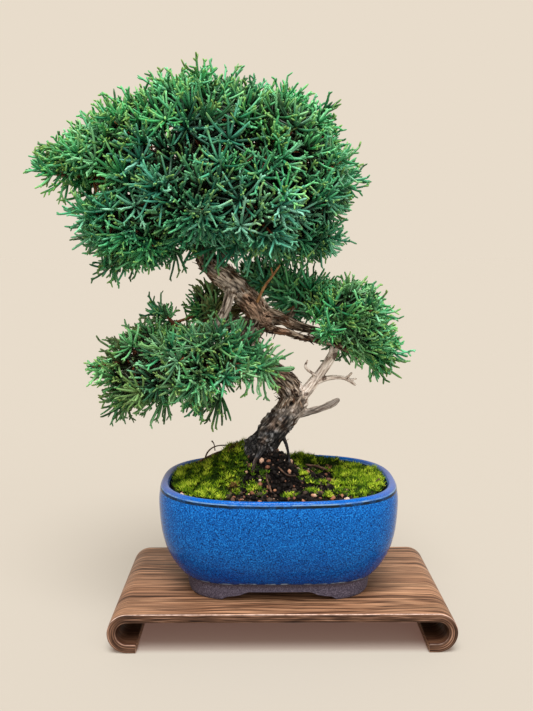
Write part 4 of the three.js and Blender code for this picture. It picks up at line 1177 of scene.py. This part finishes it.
foliage = {
    "seed": 7,
    "pads": {  # middle and radii of each rounded cloud in mm, then shares of blue-green, youth and old brown
        "crown_left": ((-121, -2, 294), (34, 28, 14), 0.1, 0.85, 0.0),
        "crown_upper_left": ((-92, 4, 303), (38, 46, 30), 0.2, 0.75, 0.0),
        "crown_brow_left": ((-74, -27, 292), (38, 25, 24), 0.25, 0.7, 0.0),
        "crown_brow_right": ((-20, -27, 289), (38, 24, 23), 0.45, 0.5, 0.0),
        "crown_top": ((-54, 0, 314), (42, 56, 33), 0.25, 0.6, 0.0),
        "crown_upper_right": ((-3, 2, 306), (42, 52, 34), 0.35, 0.55, 0.0),
        "crown_right": ((17, 0, 275), (29, 42, 31), 0.5, 0.4, 0.0),
        "crown_lower_right": ((7, 2, 251), (28, 36, 25), 0.6, 0.25, 0.0),
        "crown_lower_left": ((-94, -10, 253), (34, 37, 30), 0.4, 0.35, 0.0),
        "crown_front_left": ((-54, -34, 266), (32, 28, 30), 0.8, 0.3, 0.0),
        "crown_front_right": ((-12, -34, 264), (30, 27, 30), 0.8, 0.25, 0.0),
        "crown_back": ((-44, 42, 274), (52, 30, 36), 0.35, 0.35, 0.0),
        "low_left": ((-92, -6, 163), (30, 31, 28), 0.15, 0.3, 0.34),
        "low_upper": ((-82, 8, 181), (20, 29, 17), 0.2, 0.35, 0.2),
        "low_front": ((-52, -25, 167), (34, 26, 28), 0.4, 0.35, 0.2),
        "low_back": ((-48, 20, 205), (18, 19, 17), 0.1, 0.1, 0.8),
        "right_pad": ((41, -5, 201), (28, 31, 22), 0.25, 0.5, 0.12),
        "right_end": ((57, -6, 183), (19, 24, 21), 0.3, 0.5, 0.12),
        "right_back": ((12, 22, 209), (24, 22, 17), 0.4, 0.2, 0.1),
        "right_inner": ((-14, 24, 222), (18, 14, 14), 0.3, 0.1, 0.3),
    },
    "blend": 3.0,  # how closely the skin of a group follows its single clouds
    "apart": {"crown": 11.6, "low": 13.4, "right": 12.0},  # mm between tufts
    # the tufts of a group point away from its heart
    "hearts": {"crown": (-48, 0, 256), "low": (-22, 0, 184), "right": (12, 2, 192)},
    "layers": {  # how far inside the clouds a layer of tufts lies, how sparse it is, and cords in each tuft
        "outer": (0.85, 1.0, (13, 19)),
        "inner": (2.0, 1.15, (8, 12)),
    },
    "uneven": 0.65,  # how much the layers swell and sink from place to place
    "brush": {"depth": (17, 23), "lean": (4, 46), "length": (14, 23)},
    "star": {"depth": (8, 12), "lean": (22, 84), "length": (13, 22)},  # seen end on, a star of cords
    "starShare": 0.5,
    "sideLength": (8, 15),  # mm
    "radius": 0.81,
    "sideCords": 3,  # on each shoot of a spray
    "forks": (0, 3),
    "forkPlaces": (0.96, 0.84, 0.7, 0.5),  # along a cord
    "forkLength": (1.9, 4.4),
    "stemRadius": 1.35,
    "twigRadius": 0.8,
    "shortening": {"crown_top": 0.5, "crown_upper_right": 0.8, "crown_upper_left": 0.85, "crown_left": 0.8,
                   "crown_right": 0.8, "crown_lower_left": 0.82, "crown_lower_right": 0.82, "low_left": 0.78,
                   "low_upper": 0.72, "low_front": 0.85, "right_pad": 0.85},
    "sprigs": [  # tufts that hang free, where the photo shows them: group, place and way out
        ("crown", (-50, -15, 238), (-0.3, -0.6, -0.7)), ("crown", (-38, -16, 237), (0.1, -0.7, -0.6)),
        ("crown", (-62, -12, 236), (-0.5, -0.5, -0.6)), ("crown", (-24, -16, 238), (0.3, -0.6, -0.6)),
        ("crown", (-72, -10, 232), (-0.4, -0.4, -0.8)), ("crown", (-12, -12, 236), (0.4, -0.5, -0.7)),
        ("low", (-6, -22, 163), (0.9, -0.3, -0.25)), ("low", (-1, -20, 162), (1.0, -0.2, -0.15)),
        ("right", (4, 10, 222), (-0.4, -0.3, 0.8)),
        ("right", (-2, 14, 212), (-0.7, -0.2, 0.5)), ("right", (65, -8, 164), (0.35, -0.3, -0.85)),
        ("low", (-78, -12, 136), (-0.3, -0.4, -0.9)), ("low", (-46, -14, 132), (0.0, -0.4, -0.9)),
        ("low", (-108, -10, 142), (-0.6, -0.3, -0.7)), ("low", (-22, -20, 180), (0.2, -0.8, 0.5)),
        ("low", (-16, -20, 173), (0.5, -0.8, 0.1)), ("low", (-30, -22, 188), (0.0, -0.7, 0.7)),
        ("low", (-14, -18, 170), (0.6, -0.8, 0.0)), ("low", (-28, -24, 172), (0.1, -0.9, 0.2)),
        ("crown", (-34, -2, 341), (0.1, -0.2, 1.0)),
        ("crown", (-25, -4, 338), (0.2, -0.2, 1.0)), ("right", (23, 6, 223), (0.3, -0.3, 0.9)),
        ("right", (69, -6, 163), (0.4, -0.2, -0.8)), ("crown", (-127, -4, 273), (-0.7, -0.3, -0.4)),
    ],
    "keptFree": [((8, -12, 190), 16), ((20, -12, 187), 16), ((31, -11, 183), 13), ((-15, -12, 201), 14),
                 ((-28, -12, 208), 16), ((24, -12, 168), 18), ((34, -10, 172), 13), ((-21, -22, 147), 21),
                 ((12, -14, 178), 14), ((46, -8, 164), 14), ((58, -8, 151), 11), ((-2, -14, 178), 12),
                 ((-36, -20, 138), 11), ((-125, -6, 168), 16), ((-111, -4, 190), 16), ((-151, -4, 278), 11),
                 ((-143, -4, 270), 6), ((-72, 2, 205), 14), ((-62, 4, 214), 6), ((64, -6, 214), 11),
                 ((46, -4, 301), 6), ((-84, -34, 277), 8), ((-68, -42, 287), 6), ((-116, -20, 276), 7),
                 ((-58, -52, 262), 6), ((0, -42, 300), 7), ((-5, -50, 282), 6), ((-45, -52, 257), 6),
                 ((-24, -40, 247), 7), ((-96, -38, 268), 5)],  # where wood shows, and hollows between tufts
}


def cordTemplate(sides, profile):  # a cord of length 1 with a radius at each share of its length
    bm = bmesh.new()
    bmesh.ops.create_cone(bm, cap_ends=True, segments=sides, radius1=1, radius2=1, depth=1)
    bmesh.ops.translate(bm, vec=(0, 0, 0.5), verts=bm.verts)
    cutAcross(bm, [share for share, _ in profile[1:-1]])
    for v in bm.verts:
        radius = min(profile, key=lambda p: abs(p[0] - v.co.z))[1]
        v.co.x, v.co.y = v.co.x * radius, v.co.y * radius
    return asTemplate(bm)


cordKinds = {  # the shape of each kind, and where its ends lie between the foot and the tip of a shoot
    "cords": (cordTemplate(5, [(0, 0.75), (0.3, 1.0), (0.62, 0.92), (0.9, 0.86), (1, 0.4)]), 0.0, 0.85),
    "forks": (cordTemplate(4, [(0, 0.85), (0.8, 0.8), (1, 0.35)]), 0.7, 1.0),
    "twigs": (cordTemplate(5, [(0, 1.0), (0.25, 0.9), (0.5, 0.8), (0.75, 0.68), (1, 0.5)]), 0.0, 1.0),
}


def keptFree(place):  # whether nothing grows here; the places are deeper than they are wide
    return any(((place[0] - x) ** 2 + ((place[1] - y) / 2) ** 2 + (place[2] - z) ** 2) < reach ** 2
               for (x, y, z), reach in foliage["keptFree"])


def padsOf(group):
    return [values for name, values in foliage["pads"].items() if name.startswith(group)]


def skinLevel(places, group):  # 0 on the skin of a group of clouds, above 0 inside it, and the way out
    middles, radii = (np.array([values[k] for values in padsOf(group)], float) for k in (0, 1))
    away = (places[:, None] - middles) / radii
    weight = np.exp(foliage["blend"] * (1 - (away ** 2).sum(2)))
    total = weight.sum(1)
    slope = (weight[..., None] * -2 * foliage["blend"] * away / radii).sum(1) / total[:, None]
    return np.log(total), slope


def levelAt(place, group):
    return skinLevel(np.array([place]), group)[0][0]


def depthUnder(places, group):  # about how many mm under the skin
    level, slope = skinLevel(places, group)
    return level / np.maximum(np.linalg.norm(slope, axis=1), 0.06)


def skinPlaces(group, sunk, apart, rng):  # evenly spread places at a depth, with the way out at each
    places = np.concatenate([np.array(middle) + unit(rng.normal(size=(500, 3))) * radii
                             for middle, radii, *_ in padsOf(group)])
    inset = sunk + foliage["uneven"] * np.array([noise.noise(Vector(p) * 0.045) for p in places])
    for _ in range(8):  # steps towards that depth
        level, slope = skinLevel(places, group)
        size = np.maximum((slope ** 2).sum(1), 1e-4)
        places = places - np.clip((level - inset) / size, -400, 400)[:, None] * slope
    level, slope = skinLevel(places, group)
    kept = []
    for i in rng.permutation(np.flatnonzero(np.abs(level - inset) < 0.15)):
        if keptFree(places[i]):
            continue
        if not kept or np.min(((places[kept] - places[i]) ** 2).sum(1)) > apart ** 2:
            kept.append(i)
    return places[kept], unit(-slope[kept])


def readSpray(node, woodTree):  # the stem and the shoots of a spray, from its solid
    bm = bmesh.new()
    bm.from_mesh(node.data)
    bmesh.ops.remove_doubles(bm, verts=bm.verts, dist=1e-6)
    bm.transform(fromFrame)
    tips, body = [], []
    for v in bm.verts:
        ways = [e.other_vert(v).co - v.co for e in v.link_edges]
        inward = sum((w.normalized() for w in ways), Vector()).normalized()
        if min(w.length for w in ways) > 6 and min(w.normalized().dot(inward) for w in ways) > 0.95:
            tips.append((v.co.copy(), inward))  # long edges that all run the same way meet in a tip
        else:
            body.append(v.co.copy())
    bm.free()
    cloud = np.array(body)
    middle = cloud.mean(0)
    axis = np.linalg.svd(cloud - middle, full_matrices=False)[2][0]
    along = (cloud - middle) @ axis
    ends = [Vector(middle + axis * along.min()), Vector(middle + axis * along.max())]
    root, tip = sorted(ends, key=lambda p: woodTree.find_nearest(p)[3])
    stem = tip - root
    shoots = []
    for place, inward in tips:  # where the line of each shoot passes nearest to the stem
        w = place - root
        b, d, e = inward.dot(stem), inward.dot(w), stem.dot(w)
        share = (e - b * d) / max(stem.dot(stem) - b * b, 1e-6)
        shoots.append((root + stem * clamp(share), place))
    return root, tip, shoots


def randomVector(rng, size):
    return Vector([rng.uniform(-size, size) for _ in range(3)])


class Spray:  # the cords, forked tips and twigs of one spray, as rows for the templates
    def __init__(self, group, blue, youth, old, rng):
        self.group, self.blue, self.youth, self.old, self.rng = group, blue, youth, old, rng
        self.rows = {kind: [] for kind in cordKinds}

    def tuftTones(self):
        draw = self.rng.uniform
        return (clamp(self.blue + draw(-0.3, 0.3)), clamp(self.youth + draw(-0.35, 0.35)), draw(-0.28, 0.28),
                clamp(self.old + draw(-0.25, 0.2)))

    def cord(self, start, chord, bow, radius, tones):
        rng = self.rng
        blue, youth, shift, old = tones
        tone = clamp(rng.uniform(0.15, 0.85) + shift)
        young = 1.0 if rng.random() < youth * 0.65 else 0.2
        values = (tone, 0.0, young, blue, old)
        self.rows["cords"].append((*start, *chord, *bow, radius, *values))
        along = chord.normalized()
        sideways = along.orthogonal().normalized()
        turn = rng.uniform(0, 2 * math.pi)
        for i in range(rng.randint(*foliage["forks"])):
            share = foliage["forkPlaces"][i] - rng.uniform(0, 0.1)
            spot = start + chord * share + bow * 4 * share * (1 - share)
            lean = math.radians(rng.uniform(26, 46))
            way = Quaternion(along, turn + i * 2.6 + rng.uniform(-0.4, 0.4)) @ leaning(along, sideways, lean)
            size = rng.uniform(*foliage["forkLength"])
            self.rows["forks"].append((*spot, *(way * size), 0, 0, 0, radius * 0.85, *values))

    def twig(self, start, end, radius):
        chord = end - start
        bow = randomVector(self.rng, 1) * chord.length * 0.08
        self.rows["twigs"].append((*start, *chord, *bow, radius, self.rng.random(), 1.0, 0, 0, 0))

    def dressShoot(self, start, end):  # a shoot of the solid, with side cords
        rng = self.rng
        tones = self.tuftTones()
        chord = end - start
        size, way = chord.length, chord.normalized()
        side, thick = way.orthogonal().normalized(), foliage["radius"]
        bow = (Vector((0, 0, -0.05)) + randomVector(rng, 1) * 0.04) * size
        bow -= way * bow.dot(way)
        self.cord(start, chord, bow, thick, tones)
        spin = rng.uniform(0, 2 * math.pi)
        for i in range(foliage["sideCords"]):
            share = 0.1 + 0.55 * (i + rng.random() * 0.7) / foliage["sideCords"]
            spot = start + chord * share + bow * 4 * share * (1 - share)
            lean = math.radians(rng.uniform(24, 48))
            out = Quaternion(way, spin + i * 2.4) @ leaning(way, side, lean)
            length = min(rng.uniform(*foliage["sideLength"]), size * (1.1 - share) / math.cos(lean) + 3)
            self.cord(spot, out * length, Vector((0, 0, -0.04)) * length, thick * rng.uniform(0.85, 1), tones)

    def tuft(self, tip, out, size, free):  # a fan of cords whose ends reach the skin of the foliage
        rng = self.rng
        tones = self.tuftTones()
        kind = foliage["star" if rng.random() < foliage["starShare"] else "brush"]
        depth = rng.uniform(*kind["depth"])
        away = (tip - Vector(foliage["hearts"][self.group])).normalized()
        axis = (out * (1.0 if free else 0.5) + away * 0.5 + Vector((0, 0, 0.15))
                + randomVector(rng, 0.35)).normalized()
        base = tip - axis * depth
        side = axis.orthogonal().normalized()
        turn = rng.uniform(0, 2 * math.pi)
        count = rng.randint(*size)
        low, high = kind["lean"]
        limit = levelAt(tip, self.group) + rng.uniform(-0.4, 0.3)
        for i in range(count):
            lean = math.radians(low + (high - low) * ((i + rng.random() * 0.6) / count) ** 0.7)
            way = Quaternion(axis, turn + i * 2.4) @ leaning(axis, side, lean)
            start = base + axis * rng.uniform(0, 0.3) * depth * (1 - lean / 2)
            length = rng.uniform(*kind["length"])
            ragged = limit + rng.uniform(-1.15, 0.4)
            for _ in range(5):  # shortened until its end lies inside the skin
                if free or levelAt(start + way * length, self.group) > ragged:
                    break
                length *= 0.88
            bow = way.cross(axis).cross(way) * -0.05 * length + Vector((0, 0, -0.03)) * length
            self.cord(start, way * length, bow, foliage["radius"] * rng.uniform(0.85, 1.1), tones)
        return base


def juniperMaterial():
    # Scale leaves pressed to the shoot in a cord: waxy, so half matte with a soft sheen; blue-green where
    # mature, yellow-green at young tips, olive to red-brown where old or woody.
    leaf, add = newMaterial("juniperScaleLeaf")
    along, tone, woody, young, blue, old, deep = (
        add("Attribute", out="Fac", attribute_name=name)
        for name in ("along", "tone", "woody", "young", "blue", "old", "deep"))
    fresh, bluish, aged, twig = (add("ValToRGB", (tone,), ramp=tones) for tones in (
        {0.0: "#0c4625", 0.35: "#247b43", 0.7: "#45a961", 1.0: "#74c987"},
        {0.0: "#0c4434", 0.4: "#2a745f", 0.75: "#4d9d86", 1.0: "#80c2ad"},
        {0.0: "#4a3a1c", 0.5: "#6b5a2c", 1.0: "#8a7a44"},
        {0.0: "#4a2b1d", 0.6: "#7a4428", 1.0: "#94603e"}))
    lit = add("Math", (add("MapRange", (along, 0.55, 1.0, 0.0, 0.8)), young), **times)
    footShade = add("MapRange", (along, 0.0, 0.4, 0.5, 0.0))
    # leaves far inside get little light, and brown as they die back
    within = add("MapRange", (deep, 9.0, 21.0, 0.0, 0.92))
    colour = fresh
    for share, coat in ((blue, bluish), (lit, "#7fa64a"), (footShade, "#113c22"), (old, aged),
                        (within, "#19150d"), (woody, twig)):
        colour = add("Mix", {0: share, 6: colour, 7: coat}, **asColour)
    scales = add("TexVoronoi", {"Vector": add("TexCoord", out="Object"), "Scale": 900.0})  # 1.1 mm leaves
    bump = add("Bump", {"Height": scales, "Strength": 0.4, "Distance": 0.0003})
    return finishMaterial(leaf, {"Base Color": colour, "Normal": bump, "Roughness": 0.42, "IOR": 1.45,
                                 "Specular IOR Level": 0.35})


def nearStem(ends, place):  # the point of a stem nearest to a place
    root, stem = ends[0], ends[1] - ends[0]
    return root + stem * clamp((place - root).dot(stem) / stem.dot(stem))


def makeFoliage():
    leaf = juniperMaterial()
    trunkCopy = bmesh.new()
    trunkCopy.from_mesh(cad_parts["trunk_and_branches"].data)
    trunkCopy.transform(fromFrame)
    woodTree = BVHTree.FromBMesh(trunkCopy)
    trunkCopy.free()
    names = sorted(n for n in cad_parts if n.rsplit("_", 1)[0] in foliage["pads"])
    sprays, stems = {}, {}
    for index, name in enumerate(names):
        pad = name.rsplit("_", 1)[0]
        _, _, *tones = foliage["pads"][pad]
        spray = Spray(pad.split("_")[0], *tones, random.Random(foliage["seed"] + index))
        root, tip, shoots = readSpray(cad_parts[name], woodTree)
        back = root - (tip - root).normalized() * 6.5  # the stem starts inside the wood
        spray.twig(back, tip, foliage["stemRadius"])
        for start, end in shoots:
            end = start + (end - start) * foliage["shortening"].get(pad, 1)
            spray.dressShoot(start, start + (end - start) * (0.3 if keptFree(end) else 1))
        sprays[name], stems[name] = spray, (root, tip)
    rng = np.random.default_rng(foliage["seed"])
    tufts = 0
    for group in foliage["apart"]:
        ours = [n for n in names if n.startswith(group)]
        tuftPlaces = []
        for sunk, sparse, size in foliage["layers"].values():
            spots = skinPlaces(group, sunk, foliage["apart"][group] * sparse, rng)
            tuftPlaces += [(Vector(p), Vector(w), size, False) for p, w in zip(*spots)]
        tuftPlaces += [(Vector(p), Vector(w).normalized(), foliage["layers"]["outer"][2], True)
                       for g, p, w in foliage["sprigs"] if g == group]
        for place, out, size, free in tuftPlaces:
            inner = place - out * 20
            name = min(ours, key=lambda n: (nearStem(stems[n], inner) - place).length)
            base = sprays[name].tuft(place, out, size, free)
            sprays[name].twig(nearStem(stems[name], inner), base, foliage["twigRadius"])
        tufts += len(tuftPlaces)
    cords = 0
    for name, spray in sprays.items():
        crowd = Crowd()
        for kind, (template, first, last) in cordKinds.items():
            rows = np.array(spray.rows[kind])
            places = placeCords(template, rows)
            deep = depthUnder(places.reshape(-1, 3), spray.group).reshape(places.shape[:2])
            along = first + (last - first) * template["points"][None, :, 2]
            values = {key: rows[:, i:i + 1]
                      for i, key in enumerate(("tone", "woody", "young", "blue", "old"), 10)}
            crowd.add(template, places, along=along, **values, deep=deep)
        newPiece(pieceName(name), crowd.mesh(pieceName(name)), leaf, [name])
        cords += len(spray.rows["cords"])
    print("foliage made:", cords, "cords in", tufts, "tufts on", len(sprays), "sprays")


makeFoliage()
